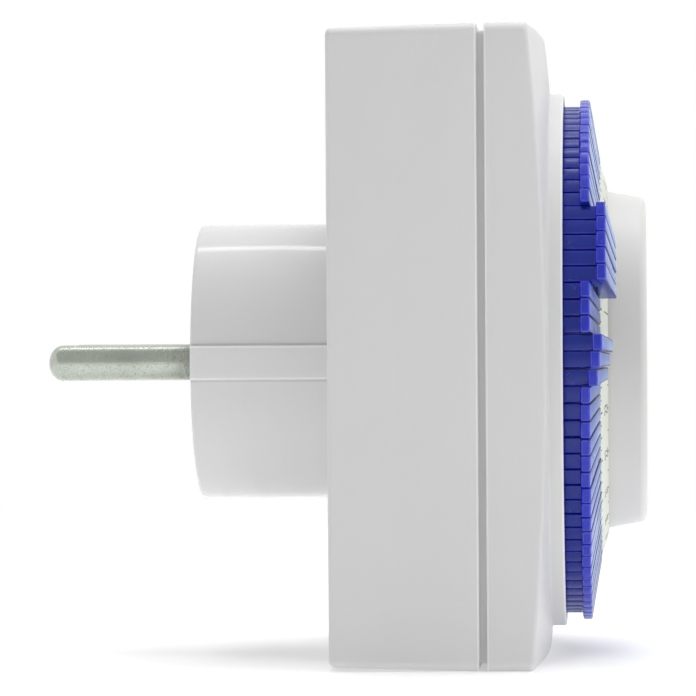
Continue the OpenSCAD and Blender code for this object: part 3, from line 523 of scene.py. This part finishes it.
# ---- mesh tools
def bridge(bm, rings, loop=False, caps=False):
    """Joins rings of points, in millimetres, into one skin."""
    rows = [[bm.verts.new(Vector(p) * MM) for p in ring] for ring in rings]
    pairs = list(zip(rows, rows[1:])) + ([(rows[-1], rows[0])] if loop else [])
    count = len(rows[0])
    for first, second in pairs:
        for i in range(count):
            j = (i + 1) % count
            bm.faces.new((first[i], first[j], second[j], second[i]))
    if caps:
        bm.faces.new(rows[0])
        bm.faces.new(rows[-1])


def lathe(bm, profile, steps, loop=True, at=(0, 0), caps=False):
    """Turns (radius, y) points about the axis, or about a line beside it."""
    turns = [2 * math.pi * k / steps for k in range(steps)]
    rings = [
        [(at[0] + radius * math.cos(t), y, at[1] + radius * math.sin(t)) for t in turns]
        for radius, y in profile
    ]
    bridge(bm, rings, loop, caps)


def peg(bm, profile, at, steps=48):
    """A turned solid, closed at both ends."""
    lathe(bm, profile, steps, False, at, True)


def box(bm, low_corner, high_corner):
    """A box from corner to corner, in millimetres."""
    made = bmesh.ops.create_cube(bm, size=1.0)["verts"]
    a, b = Vector(low_corner), Vector(high_corner)
    for v in made:
        v.co = Vector((a[i] + (v.co[i] + 0.5) * (b[i] - a[i]) for i in range(3))) * MM
    return made


def arc(centre, radius, start, end, steps):
    """Points of an arc as (radius, y), its angles in degrees."""
    turns = [math.radians(start + (end - start) * k / steps) for k in range(steps + 1)]
    return [(centre[0] + radius * math.cos(t), centre[1] + radius * math.sin(t)) for t in turns]


def rounding(degrees):
    """1 - cosine and 1 - sine of each angle, which draw a rounded edge."""
    turns = [math.radians(v) for v in degrees]
    return [(1 - math.cos(t), 1 - math.sin(t)) for t in turns]


def round_edges(bm, edges, millimetres, segments, profile, **more):
    bmesh.ops.bevel(
        bm, geom=list(edges), offset=millimetres * MM, segments=segments, profile=profile,
        affect="EDGES", **more
    )


def smooth(mesh, sharp=SHARP):
    mesh.polygons.foreach_set("use_smooth", [True] * len(mesh.polygons))
    mesh.set_sharp_from_angle(angle=math.radians(sharp))


def placed(name, data):
    """A new object in the scene."""
    made = bpy.data.objects.new(name, data)
    bpy.context.scene.collection.objects.link(made)
    return made


def piece_from(bm, name, material=None, sharp=SHARP):
    """Closes a mesh in the making and puts it into the scene as one piece."""
    bmesh.ops.recalc_face_normals(bm, faces=bm.faces)
    mesh = bpy.data.meshes.new(name)
    bm.to_mesh(mesh)
    bm.free()
    smooth(mesh, sharp)
    if material is not None:
        mesh.materials.append(material)
    return placed(name, mesh)


def settled_mesh(thing):
    """A new mesh of an object as its modifiers and font leave it."""
    bpy.context.view_layer.update()
    settled = thing.evaluated_get(bpy.context.evaluated_depsgraph_get())
    return bpy.data.meshes.new_from_object(settled)


def carve(piece, tools):
    """Adds and cuts away tool bodies, given as (operation, mesh in the making)."""
    helpers = []
    for k, (operation, bm) in enumerate(tools):
        helper = piece_from(bm, f"tool_{k}")
        helpers.append(helper)
        change = piece.modifiers.new(f"tool_{k}", "BOOLEAN")
        change.operation, change.solver = operation, "EXACT"
        change.use_self = True
        change.object = helper
    mesh = settled_mesh(piece)
    piece.modifiers.clear()
    old, piece.data = piece.data, mesh
    mesh.name = old.name
    bpy.data.meshes.remove(old)
    for helper in helpers:
        # its object goes with it
        bpy.data.meshes.remove(helper.data)
    bm = bmesh.new()
    bm.from_mesh(mesh)
    bmesh.ops.remove_doubles(bm, verts=bm.verts, dist=1e-6)
    bmesh.ops.dissolve_degenerate(bm, dist=1e-6, edges=bm.edges)
    bm.to_mesh(mesh)
    bm.free()
    smooth(mesh)


def fit(piece, body, slot, *nodes):
    """The piece rides on its body and stands for its CAD nodes, which it hides; its slot is not
    used.
    """
    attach(piece, body)
    if nodes:
        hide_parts(*nodes)


# ---- casing outlines
def outline_point(angle, inset, corner):
    """Where a ray from the axis meets the casing's rounded outline."""
    dx, dz = math.cos(angle), math.sin(angle)
    x_half, z_half = HALF_W - inset, HALF_H - inset
    corner = max(corner, 0.05)
    reach = min(
        x_half / abs(dx) if abs(dx) > 1e-9 else 1e9,
        (MIDDLE + z_half if dz > 0 else z_half - MIDDLE) / abs(dz) if abs(dz) > 1e-9 else 1e9,
    )
    x, z = dx * reach, dz * reach
    if abs(x) > x_half - corner and abs(z - MIDDLE) > z_half - corner:
        cx = math.copysign(x_half - corner, x)
        cz = MIDDLE + math.copysign(z_half - corner, z - MIDDLE)
        along = dx * cx + dz * cz
        reach = along + math.sqrt(max(0.0, along ** 2 - cx * cx - cz * cz + corner * corner))
        x, z = dx * reach, dz * reach
    return x, z


def rib_profile(casing):
    """Half the rib's outline, from its flat face to the plug's round wall."""
    radius, half = casing.plug / MM, casing.rib_width / MM / 2
    face = radius + casing.rib / MM
    foot = math.sqrt(radius ** 2 - half ** 2)
    edge, nip, fillet = 0.22, 0.06, 0.05
    return [
        (face, half - edge), (face - nip, half - nip), (face - edge, half),
        (foot + nip, half), (foot, half + fillet),
    ]


def outline_angles(casing):
    """Directions that give both shells and the plug their corners and edges."""
    corner = casing.corner / MM
    angles = []
    for sx, sz in ((1, 1), (1, -1), (-1, 1), (-1, -1)):
        cx, cz = sx * (HALF_W - corner), MIDDLE + sz * (HALF_H - corner)
        for k in range(CORNER_STEPS + 1):
            turn = math.radians(90 * k / CORNER_STEPS)
            x, z = cx + sx * corner * math.cos(turn), cz + sz * corner * math.sin(turn)
            angles.append(math.atan2(z, x))
    for x, z in rib_profile(casing):
        a = math.atan2(z, x)
        angles += [a, -a, math.pi - a, -math.pi + a]
    nearest = math.radians(0.9)
    for k in range(SPOKES):
        a = math.pi * (2 * k / SPOKES - 1)
        if all(abs(a - b) > nearest for b in angles):
            angles.append(a)
    return sorted(angles)


def ring_makers(casing):
    """The outline's directions, and makers of rings that share them."""
    angles = outline_angles(casing)
    corner = casing.corner / MM

    def side(inset, y):
        """The casing's outline at one place along the axis, drawn in by the inset."""
        points = (outline_point(a, inset, corner - inset) for a in angles)
        return [(x, y, z) for x, z in points]

    def disc(radius, y):
        return [(radius * math.cos(a), y, radius * math.sin(a)) for a in angles]

    return angles, side, disc


def plug_point(angle, inset, casing, profile):
    """A point of the plug's round outline with its two ribs."""
    folded = abs(angle)
    side = 1 if folded < math.pi / 2 else -1
    folded = folded if side > 0 else math.pi - folded
    up = 1 if angle >= 0 else -1
    flat = math.atan2(profile[0][1], profile[0][0])
    face = profile[0][0] - inset
    for x, z in profile:
        if abs(math.atan2(z, x) - folded) < 1e-6:
            return side * (x - inset), up * z
    if folded < flat:
        return side * face, up * face * math.tan(folded)
    radius = casing.plug / MM - inset
    return side * radius * math.cos(folded), up * radius * math.sin(folded)


def dome_y(x, z, casing):
    """The domed front face's place along the axis."""
    square = (casing.dome / MM) ** 2
    return Y_FRONT + math.sqrt(square - RING_R ** 2) - math.sqrt(square - x * x - z * z)


# ---- operators
class TIMER_OT_rear_shell(Operator):
    """Rear shell with the round plug body, its ribs and the screw wells"""

    bl_idname = "timer.rear_shell"
    bl_label = "Rear shell"

    def execute(self, context):
        casing = context.scene.timer_casing
        angles, side, disc = ring_makers(casing)
        profile = rib_profile(casing)
        seam, back = casing.seam_edge / MM, casing.back_edge / MM
        root, tip = 0.35, 0.45
        y_rebate = Y_SEAM + 2.5
        neck, bore, y_neck = 16.0, 14.5, Y_INNER + 1.9

        def plug(inset, y):
            points = (plug_point(a, inset, casing, profile) for a in angles)
            return [(x, y, z) for x, z in points]

        rings = [
            disc(bore, Y_PLUG_WALL), disc(bore, y_neck),
            disc(neck, y_neck), disc(neck, Y_INNER),
            side(REAR_WALL + DRAFT, Y_INNER), side(REAR_WALL, y_rebate),
            side(SEAM_DEPTH, y_rebate), side(SEAM_DEPTH, Y_SEAM), side(seam, Y_SEAM),
        ]
        rings += [side(seam * s, Y_SEAM + seam * c) for c, s in rounding(COARSE[1:])]
        wall = Y_BACK - back - Y_SEAM
        rings += [side(DRAFT * k / 4, Y_SEAM + wall * k / 4) for k in (1, 2, 3)]
        rings += [side(DRAFT + back * c, Y_BACK - back * s) for c, s in rounding(FINE)]
        rings += [plug(-root * s, Y_BACK + root * c) for c, s in rounding(COARSE)]
        rings += [plug(0, Y_BACK * 0.5)]
        rings += [plug(tip * c, -tip * s) for c, s in rounding(FINE)]
        bm = bmesh.new()
        bridge(bm, rings, caps=True)
        piece = piece_from(bm, "rear_shell", casing_material())
        carve(piece, self.inner_forms())
        fit(piece, "casing", "casing_plastic", "rear_case")
        return {"FINISHED"}

    def inner_forms(self):
        """Screw posts, pin sleeves, and the wells, holes and knob slot cut through them."""
        posts, wells = bmesh.new(), bmesh.new()
        post_r, y_post, y_sleeve = 3.0, -39.1, -28.6
        sleeve_r, screw_r, head_r, mouth_r = 4.4, 1.8, 3.2, 3.6
        y_head = Y_BACK - 8
        for spot in SCREW_SPOTS:
            peg(posts, [(post_r, y_post), (post_r, y_sleeve)], spot)
            peg(posts, [(sleeve_r, y_sleeve - 0.1), (sleeve_r, Y_INNER + 0.1)], spot)
            peg(wells, [
                (screw_r, -40), (screw_r, y_head), (head_r, y_head), (head_r, Y_BACK - 0.3),
                (mouth_r, Y_BACK + 0.1), (mouth_r, Y_BACK + 1),
            ], spot)
        pin_sleeve_r = 4.0
        for s in (1, -1):
            peg(posts, [(pin_sleeve_r, -12), (pin_sleeve_r, Y_PLUG_WALL + 0.1)], (s * PIN_X, 0))
            peg(wells, [(NECK_R, -13), (NECK_R, 1)], (s * PIN_X, 0))
        box(wells, (HALF_W - REAR_WALL - 2, -35.0, 15.1), (HALF_W + 1, -31.2, 22.9))
        return ("UNION", posts), ("DIFFERENCE", wells)


class TIMER_OT_front_cover(Operator):
    """Front cover with its domed face, the raised ring and the tongue in the groove"""

    bl_idname = "timer.front_cover"
    bl_label = "Front cover"

    def execute(self, context):
        casing = context.scene.timer_casing
        side, disc = ring_makers(casing)[1:]
        seam, edge = casing.seam_edge / MM, casing.edge / MM
        flare, rim = casing.flare / MM, casing.rim / MM

        def domed(inset, back):
            return [(x, dome_y(x, z, casing) + back, z) for x, _, z in side(inset, 0)]

        def face(part, inset):
            """A ring on the dome, a part of the way in to the raised ring's foot."""
            ring = []
            for x, _, z in side(inset, 0):
                reach = math.hypot(x, z)
                scale = (reach + (RING_R + flare - reach) * part) / reach
                ring.append((x * scale, dome_y(x * scale, z * scale, casing), z * scale))
            return ring

        rings = [side(seam, Y_COVER)]
        rings += [side(seam * s, Y_COVER - seam * c) for c, s in rounding(COARSE[1:])]
        wall = list(zip(rings[-1], domed(0, edge)))
        rings += [[(a[0], a[1] + (b[1] - a[1]) * k / 3, a[2]) for a, b in wall] for k in (1, 2)]
        rings += [domed(edge * c, edge * s) for c, s in rounding(FINE)]
        rings += [face(k / 8, edge) for k in range(1, 9)]
        y_foot = dome_y(RING_R + flare, 0, casing)
        slope = rounding((15, 30, 45, 60, 75, 90))
        rings += [disc(RING_R + flare * s, y_foot - flare * c) for c, s in slope]
        rings += [disc(RING_R - rim * c, Y_RING + rim * s) for c, s in rounding(COARSE)]
        rings += [disc(BORE_R + rim * s, Y_RING + rim * c) for c, s in rounding(COARSE)]
        y_inner = dome_y(BORE_R, 0, casing) + COVER_WALL
        rings += [disc(BORE_R, y_inner), disc(RING_R + 0.2, y_inner)]
        tongue, depth = 0.9, SEAM_DEPTH + 0.1
        y_root, y_tip = Y_COVER - 0.4, Y_SEAM + 2.2
        rings += [
            domed(COVER_WALL, COVER_WALL), side(COVER_WALL, y_root),
            side(depth + tongue, y_root), side(depth + tongue, y_tip),
            side(depth, y_tip), side(depth, Y_COVER),
        ]
        bm = bmesh.new()
        bridge(bm, rings, loop=True)
        pilot_r, boss_r, y_boss = 1.52, 3.0, -40.9
        for spot in SCREW_SPOTS:
            top = dome_y(*spot, casing) + COVER_WALL - 0.4
            boss = [(pilot_r, y_boss), (boss_r, y_boss), (boss_r, top), (pilot_r, top)]
            lathe(bm, boss, 40, True, spot)
        piece = piece_from(bm, "domed_cover", casing_material())
        fit(piece, "casing", "casing_plastic", "front_cover")
        return {"FINISHED"}


class TIMER_OT_plug_pins(Operator):
    """The two plated plug pins with their rounded tips"""

    bl_idname = "timer.plug_pins"
    bl_label = "Plug pins"

    def execute(self, context):
        base = tuple(context.scene.timer_finish.pin)
        plating = metal_finish("drawn_nickel", base, 0.18, (2600, 700, 2600), 0.9, 0.6, 0.28)
        shank, groove, radius = 2.2, 1.5, 2.4
        blunt, squareness, steps = 1.95, 0.92, 14
        for node, side in (("plug_pin_left", -1), ("plug_pin_right", 1)):
            tip = high(node, 1)
            profile = [
                (0.0, -13.6), (shank, -13.6), (shank, -12.8), (groove, -12.8), (groove, -12),
                (shank, -12), (shank, 0), (radius - 0.04, 0), (radius, 0.06), (radius, 8),
            ]
            profile += [
                (radius * math.cos(t) ** squareness, tip - blunt + blunt * math.sin(t))
                for t in (math.radians(90 * k / steps) for k in range(steps))
            ]
            profile += [(0.0, tip)]
            bm = bmesh.new()
            lathe(bm, profile, 64, False, (side * PIN_X, 0))
            bmesh.ops.remove_doubles(bm, verts=bm.verts, dist=1e-7)
            piece = piece_from(bm, node.replace("plug", "round"), plating)
            fit(piece, "casing", "nickel", node)
        return {"FINISHED"}


class TIMER_OT_socket(Operator):
    """Socket insert: the collar with its rounded lip, the recess and the contact holes"""

    bl_idname = "timer.socket"
    bl_label = "Socket collar"

    def execute(self, context):
        dial, finish = context.scene.timer_dial, context.scene.timer_finish
        back, floor, front = -40.9, -43.2, low("socket_insert", 1)
        root_r, rim_r, bore_r = 22.95, 22.2, 19.75
        lip, mouth, corner, taper = dial.lip / MM, 0.9, 0.8, 8
        profile = [(0.0, back), (root_r, back), (root_r, -47)]
        profile += [(root_r, front + 5.4), (root_r - 0.03, front + 5)]
        profile += arc((rim_r - lip, front + lip), lip, taper, -90, 8)
        profile += arc((bore_r + mouth, front + mouth), mouth, -90, -180, 7)
        profile += [(bore_r, front + 6), (bore_r, floor - corner)]
        profile += [(bore_r - corner * c, floor - corner * s) for c, s in rounding(COARSE[1:])]
        profile += [(0.0, floor)]
        bm = bmesh.new()
        lathe(bm, profile, 160, False)
        bmesh.ops.remove_doubles(bm, verts=bm.verts, dist=1e-7)
        white = casing_finish("white_socket", tuple(finish.collar), finish.gloss * 0.85)
        piece = piece_from(bm, "socket_collar", white)
        adds, cuts = bmesh.new(), bmesh.new()
        pivot_r, hole_r, screw_r, screw_ring = 1.5, 2.75, 1.02, 21.35
        peg(adds, [(pivot_r, back - 0.1), (pivot_r, back + 2.0)], (0, 0), 32)
        for s in (1, -1):
            peg(cuts, [
                (hole_r + 0.4, floor - 1), (hole_r + 0.4, floor - 0.05),
                (hole_r, floor + 0.35), (hole_r, back + 1),
            ], (s * PIN_X, 0))
            peg(cuts, [(screw_r, back - 7), (screw_r, back + 1)], (0, s * screw_ring), 24)
        carve(piece, [("UNION", adds), ("DIFFERENCE", cuts)])
        fit(piece, "casing", "socket_plastic", "socket_insert")
        return {"FINISHED"}


class TIMER_OT_scale(Operator):
    """Scale ring with its hour numbers and marks"""

    bl_idname = "timer.scale"
    bl_label = "Scale ring"

    # the ring's radii, how far its face falls between them, and how deep the print sinks in
    inner, outer, fall, sink = 23.35, 26.8, 1.1, 0.03
    slope = fall / (outer - inner)

    def execute(self, context):
        dial, finish = context.scene.timer_dial, context.scene.timer_finish
        inner, outer = self.inner, self.outer
        y_foot, y_inner = high("scale_ring", 1), low("scale_ring", 1)
        y_outer = y_inner + self.fall
        edge, nip = 0.18, 0.05
        bm = bmesh.new()
        lathe(bm, [
            (inner, y_foot), (inner, y_inner + edge), (inner + nip, y_inner + nip),
            (inner + edge, y_inner + edge * 0.3), (outer - edge, y_outer - edge * 0.3),
            (outer - nip, y_outer + 0.06), (outer, y_outer + edge + 0.04), (outer, y_foot),
        ], 192)
        ring = piece_from(bm, "hour_scale", scale_finish("pale_scale", tuple(finish.scale)))
        fit(ring, "dial", "scale_plastic", "scale_ring")

        ink = ink_finish("scale_ink", tuple(finish.ink))
        for name, bm in (("hour_marks", self.marks(dial)), ("hour_numbers", self.numbers(dial))):
            fit(piece_from(bm, name, ink, 20), "dial", "scale_plastic")
        return {"FINISHED"}

    def above(self, radius, height):
        """A point above the scale's slope, in line with the -X side."""
        y = low("scale_ring", 1) + (radius - self.inner) * self.slope
        return Vector((-radius, y - height, 0))

    def marks(self, dial):
        """A mark for each quarter of an hour, longer for halves and whole hours."""
        rise, tick = dial.print_rise / MM, dial.tick / MM
        margin = 0.25
        bm = bmesh.new()

        def mark(turn, start, end, width):
            corners = [
                bm.verts.new(turn @ (self.above(r, h) + Vector((0, 0, z))) * MM)
                for h in (-self.sink, rise) for r in (start, end) for z in (-width / 2, width / 2)
            ]
            for face in ((0, 1, 3, 2), (4, 5, 7, 6), (0, 1, 5, 4), (2, 3, 7, 6),
                         (0, 2, 6, 4), (1, 3, 7, 5)):
                bm.faces.new([corners[i] for i in face])

        for k in range(TAPPETS):
            hour, half = k % 4 == 0, k % 2 == 0
            width = tick * (1.0 if hour else 0.75)
            turn = Matrix.Rotation(k * PITCH, 3, "Y")
            start, end = self.inner + margin, self.outer - margin
            mark(turn, end - (0.55 if hour else 0.38 if half else 0.26), end, width)
            if half:
                mark(turn, start, start + (0.34 if hour else 0.24), width)
        return bm

    def numbers(self, dial):
        """The hours 1 to 24, read from outside the dial."""
        rise = dial.print_rise / MM
        middle = self.above(self.inner + 1.12, (rise - self.sink) / 2) * MM
        out = Vector((-1, self.slope, 0)).normalized()
        face = Vector((-self.slope, -1, 0)).normalized()
        upright = Matrix((out.cross(face), out, face)).transposed().to_4x4()
        curve = bpy.data.curves.new("numbers", "FONT")
        curve.size = dial.numeral * 1.28
        curve.align_x = curve.align_y = "CENTER"
        curve.extrude = (rise + self.sink) * MM / 2
        curve.space_character = 0.92
        text = placed("numbers", curve)
        bm = bmesh.new()
        for hour in range(1, 25):
            curve.body = str(hour)
            digits = settled_mesh(text)
            spin = Matrix.Rotation(hour * 4 * PITCH, 4, "Y")
            digits.transform(spin @ Matrix.Translation(middle) @ upright)
            bm.from_mesh(digits)
            bpy.data.meshes.remove(digits)
        bpy.data.curves.remove(curve)
        bmesh.ops.remove_doubles(bm, verts=bm.verts, dist=1e-8)
        return bm


def tappet_form(chamfer):
    """One pressed tappet on the -X side, its edges rounded."""
    head_in, blade_in, blade_out, head_out = 27.0, 31.9, 34.5, 35.4
    y_head, y_edge, y_crest, y_shoulder = -52.0, -53.2, -54.6, -45.6
    half = math.radians(3.5 / 2)
    profile = [
        (head_in, y_head), (blade_in, y_head), (blade_in, y_shoulder), (blade_out, y_shoulder),
        (blade_out, y_head), (head_out, y_head), (head_out, y_edge), (head_in, y_crest),
    ]
    bm = bmesh.new()
    bridge(bm, [
        [(-r * math.cos(turn), y, r * math.sin(turn)) for r, y in profile]
        for turn in (-half, half)
    ], caps=True)
    bmesh.ops.recalc_face_normals(bm, faces=bm.faces)
    round_edges(bm, bm.edges, chamfer, 3, 0.5, clamp_overlap=True, material=1)
    tip_out, tip_half, y_tip = 33.7, 0.6, -41.2
    tip = box(bm, (-tip_out, y_shoulder - 0.05, -tip_half), (-blade_in, y_tip, tip_half))
    round_edges(bm, {e for v in tip for e in v.link_edges}, 0.15, 2, 0.6)
    return bm


class TIMER_OT_tappets(Operator):
    """The 96 tappets: thirteen that slide by themselves and two groups on the dial"""

    bl_idname = "timer.tappets"
    bl_label = "Tappets"

    def execute(self, context):
        dial, finish = context.scene.timer_dial, context.scene.timer_finish
        blue = tappet_finish("blue_tappet", tuple(finish.tappet))
        edges = tappet_edge_finish("blue_edge", tuple(finish.tappet))
        pattern = bpy.data.meshes.new("tappet_pattern")
        form = tappet_form(dial.chamfer / MM)
        form.to_mesh(pattern)
        form.free()
        rng = random.Random(96)
        most_play, most_tilt = 0.04, 0.0012

        def batch(name, places):
            bm = bmesh.new()
            for place in places:
                lift = LIFTS.get(place, 0.0)
                before = len(bm.verts)
                bm.from_mesh(pattern)
                bm.verts.ensure_lookup_table()
                play = rng.uniform(-most_play, most_play)
                tilt = rng.uniform(-most_tilt, most_tilt)
                move = (
                    Matrix.Rotation(FIRST_ANGLE + place * PITCH + tilt, 4, "Y")
                    @ Matrix.Translation((0, (play - lift) * MM, 0))
                )
                bmesh.ops.transform(bm, matrix=move, verts=bm.verts[before:])
            piece = piece_from(bm, name, blue, 40)
            piece.data.materials.append(edges)
            return piece

        for n in range(1, SINGLES + 1):
            piece = batch(f"segment_{n}", [FIRST_SINGLE + n - 1])
            fit(piece, f"tappet_{n}", "blue_plastic", f"tappet_{n}")
        pressed = [
            place for place in range(FIRST_SINGLE + SINGLES, FIRST_SINGLE + TAPPETS)
            if place not in SECOND_TIME
        ]
        fit(batch("segments_pressed", pressed), "dial", "blue_plastic", "tappets_pressed")
        fit(batch("segments_raised", SECOND_TIME), "dial", "blue_plastic", "tappets_raised")
        bpy.data.meshes.remove(pattern)
        wheel = frame["nodes"]["dial_wheel"].data
        wheel.materials.clear()
        wheel.materials.append(blue)
        return {"FINISHED"}


class TIMER_OT_knob(Operator):
    """Override slider's knob with its grip ridges"""

    bl_idname = "timer.knob"
    bl_label = "Override knob"

    def execute(self, context):
        y, z = -33.1, 21.0
        bm = bmesh.new()

        def block(start, end, half_y, half_z, shift=0.0):
            """A block from one height above the casing's side to another."""
            box(
                bm, (HALF_W + start, y - half_y, z + shift - half_z),
                (HALF_W + end, y + half_y, z + shift + half_z),
            )

        block(0.1, 1.2, 2.5, 4)
        for k in range(-2, 3):
            block(1.0, 1.5, 2.1, 0.3, k * 1.4)
        bmesh.ops.recalc_face_normals(bm, faces=bm.faces)
        round_edges(bm, bm.edges, 0.2, 3, 0.5)
        block(-2.9, 0.2, 1.7, 1.7)
        piece = piece_from(bm, "slider_knob", casing_material())
        fit(piece, "override", "casing_plastic", "override_knob")
        return {"FINISHED"}


class TIMER_OT_inner_parts(Operator):
    """Finishes of the pieces inside, which keep their CAD solids"""

    bl_idname = "timer.inner_parts"
    bl_label = "Inner parts"

    def execute(self, context):
        turned, rolled = (300, 4000, 300), (90, 1800, 1800)
        shaft = metal_finish("turned_steel", (0.58, 0.58, 0.59), 0.2, turned, 0.3, 0.2)
        shafts = ("rotor_shaft", "gear_axles", "drive_pinion", "lever_pin")
        metals = {
            "zinc_steel": ("zinc_plate", (0.60, 0.61, 0.62), 0.28, (500, 500, 500), 0.4, 0.3),
            "brass_strip": ("rolled_brass", (0.74, 0.55, 0.25), 0.24, rolled, 0.5, 0.4),
            "spring_copper": ("spring_copper", (0.72, 0.38, 0.22), 0.26, rolled, 0.4, 0.4),
        }
        mouldings = {
            "inner_plastic": ("natural_acetal", (0.74, 0.74, 0.69), 0.38, 0.05),
            "chassis_plastic": ("black_moulding", (0.035, 0.035, 0.04), 0.42, 0.2),
            "ferrite": ("sintered_ferrite", (0.045, 0.043, 0.045), 0.62, 0.3),
            "lead_sleeve": ("lead_insulation", (0.42, 0.05, 0.04), 0.45, 0.15),
        }
        by_slot = {
            **{slot: metal_finish(*looks) for slot, looks in metals.items()},
            **{slot: moulded_finish(*looks) for slot, looks in mouldings.items()},
            "enamelled_copper": winding_finish("enamelled_wire", (0.62, 0.26, 0.11)),
        }
        for part in frame["record"]["subparts"]:
            node, slot = frame["nodes"][part["node"]], part["material_slot"]
            if node.hide_render or slot not in by_slot:
                continue
            node.data.materials.clear()
            node.data.materials.append(shaft if part["node"] in shafts else by_slot[slot])
        return {"FINISHED"}


class TIMER_OT_studio(Operator):
    """Floor, lamps, surroundings and camera"""

    bl_idname = "timer.studio"
    bl_label = "Studio"

    def execute(self, context):
        studio = context.scene.timer_studio
        context.scene.view_settings.view_transform = "Standard"
        self.camera(studio.lens)
        self.floor()
        self.card(studio.card)
        for name, (size, at, mirrored) in LAMPS.items():
            self.lamp(f"{name}_lamp", getattr(studio, name), size, at, mirrored)
        self.surroundings(studio.ambient)
        return {"FINISHED"}

    def camera(self, lens):
        camera = bpy.data.cameras.new("camera")
        camera.lens = lens
        camera.clip_start, camera.clip_end = 0.01, 50.0
        eye = placed("camera", camera)
        bpy.context.scene.camera = eye
        eye.location = EYE
        aim = Vector(AIM) - eye.location
        roll = Matrix.Rotation(math.radians(ROLL), 4, "Z")
        eye.rotation_euler = (aim.to_track_quat("-Z", "Y").to_matrix().to_4x4() @ roll).to_euler()

    def floor(self):
        """Pale round floor: white to the camera where nothing shades it."""
        radius, steps = 2.5, 64
        level = low("rear_case", 2) * MM
        turns = [2 * math.pi * k / steps for k in range(steps)]
        bm = bmesh.new()
        bm.faces.new([
            bm.verts.new((radius * math.cos(t), radius * math.sin(t), level)) for t in turns
        ])
        r = Recipe("pale_floor")
        lit = r.node("ShaderNodeBsdfDiffuse", inputs={"Color": (0.86, 0.86, 0.86, 1)})
        near = r.both(lit, r.glow(0.30))
        shown = r.blend(r.reach(r.place).step(0.12, 0.45), near, r.glow(1.0))
        bounce = r.both(lit, r.glow(0.35))
        piece_from(bm, "floor", r.surface(r.blend(r.seen(), bounce, shown)))

    def card(self, tone):
        """Curved grey card beside the camera, seen only in shiny pieces."""
        radius, half, steps = 1.3, 1.5, 12
        bm = bmesh.new()
        rows = []
        for k in range(steps + 1):
            turn = math.radians(3 + 90 * k / steps)
            x, z = -radius * math.cos(turn), radius * math.sin(turn)
            rows.append([bm.verts.new((x, y, z)) for y in (-half, half)])
        for first, second in zip(rows, rows[1:]):
            bm.faces.new((first[0], first[1], second[1], second[0]))
        r = Recipe("grey_card")
        card = piece_from(bm, "grey_card", r.surface(r.glow(tone)))
        card.visible_camera = card.visible_diffuse = card.visible_shadow = False
        card.visible_transmission = card.visible_volume_scatter = False

    def lamp(self, name, power, size, at, mirrored):
        light = bpy.data.lights.new(name, "AREA")
        light.shape = "RECTANGLE"
        light.size, light.size_y = size
        light.energy = power
        lamp = placed(name, light)
        lamp.location = at
        aim = Vector((0, -0.03, 0)) - lamp.location
        lamp.rotation_euler = aim.to_track_quat("-Z", "Y").to_euler()
        lamp.visible_camera = False
        lamp.visible_glossy = mirrored

    def surroundings(self, ambient):
        """White to the camera and in reflections, softer as light."""
        world = bpy.data.worlds.new("studio")
        bpy.context.scene.world = world
        r = Recipe("studio", world)
        white, soft = (
            r.node("ShaderNodeBackground", inputs={"Color": (1, 1, 1, 1), "Strength": strength})
            for strength in (1.0, ambient)
        )
        r.node("ShaderNodeOutputWorld", inputs={"Surface": r.blend(r.seen(), soft, white)})


class TIMER_PT_panel(Panel):
    """Lists the timer's pieces and settings"""

    bl_idname = "TIMER_PT_panel"
    bl_label = "Plug-in timer"
    bl_space_type = "VIEW_3D"
    bl_region_type = "UI"
    bl_category = "Timer"

    def draw(self, context):
        layout = self.layout
        for operator in OPERATORS:
            layout.operator(operator.bl_idname)
        for name in SETTINGS:
            settings = getattr(context.scene, name)
            column = layout.column(align=True)
            for key in settings.__annotations__:
                column.prop(settings, key)


OPERATORS = (
    TIMER_OT_rear_shell, TIMER_OT_front_cover, TIMER_OT_plug_pins, TIMER_OT_socket,
    TIMER_OT_scale, TIMER_OT_tappets, TIMER_OT_knob, TIMER_OT_inner_parts, TIMER_OT_studio,
)
SETTINGS = {
    "timer_casing": TimerCasing, "timer_dial": TimerDial, "timer_finish": TimerFinish,
    "timer_studio": TimerStudio,
}
CLASSES = (*SETTINGS.values(), *OPERATORS, TIMER_PT_panel)


def register():
    for cls in CLASSES:
        bpy.utils.register_class(cls)
    for name, group in SETTINGS.items():
        setattr(bpy.types.Scene, name, PointerProperty(type=group))


def unregister():
    for name in SETTINGS:
        delattr(bpy.types.Scene, name)
    for cls in reversed(CLASSES):
        bpy.utils.unregister_class(cls)


def main():
    register()
    bpy.ops.timer.rear_shell()
    bpy.ops.timer.front_cover()
    bpy.ops.timer.plug_pins()
    bpy.ops.timer.socket()
    bpy.ops.timer.scale()
    bpy.ops.timer.tappets()
    bpy.ops.timer.knob()
    bpy.ops.timer.inner_parts()
    bpy.ops.timer.studio()


if __name__ == "__main__":
    main()
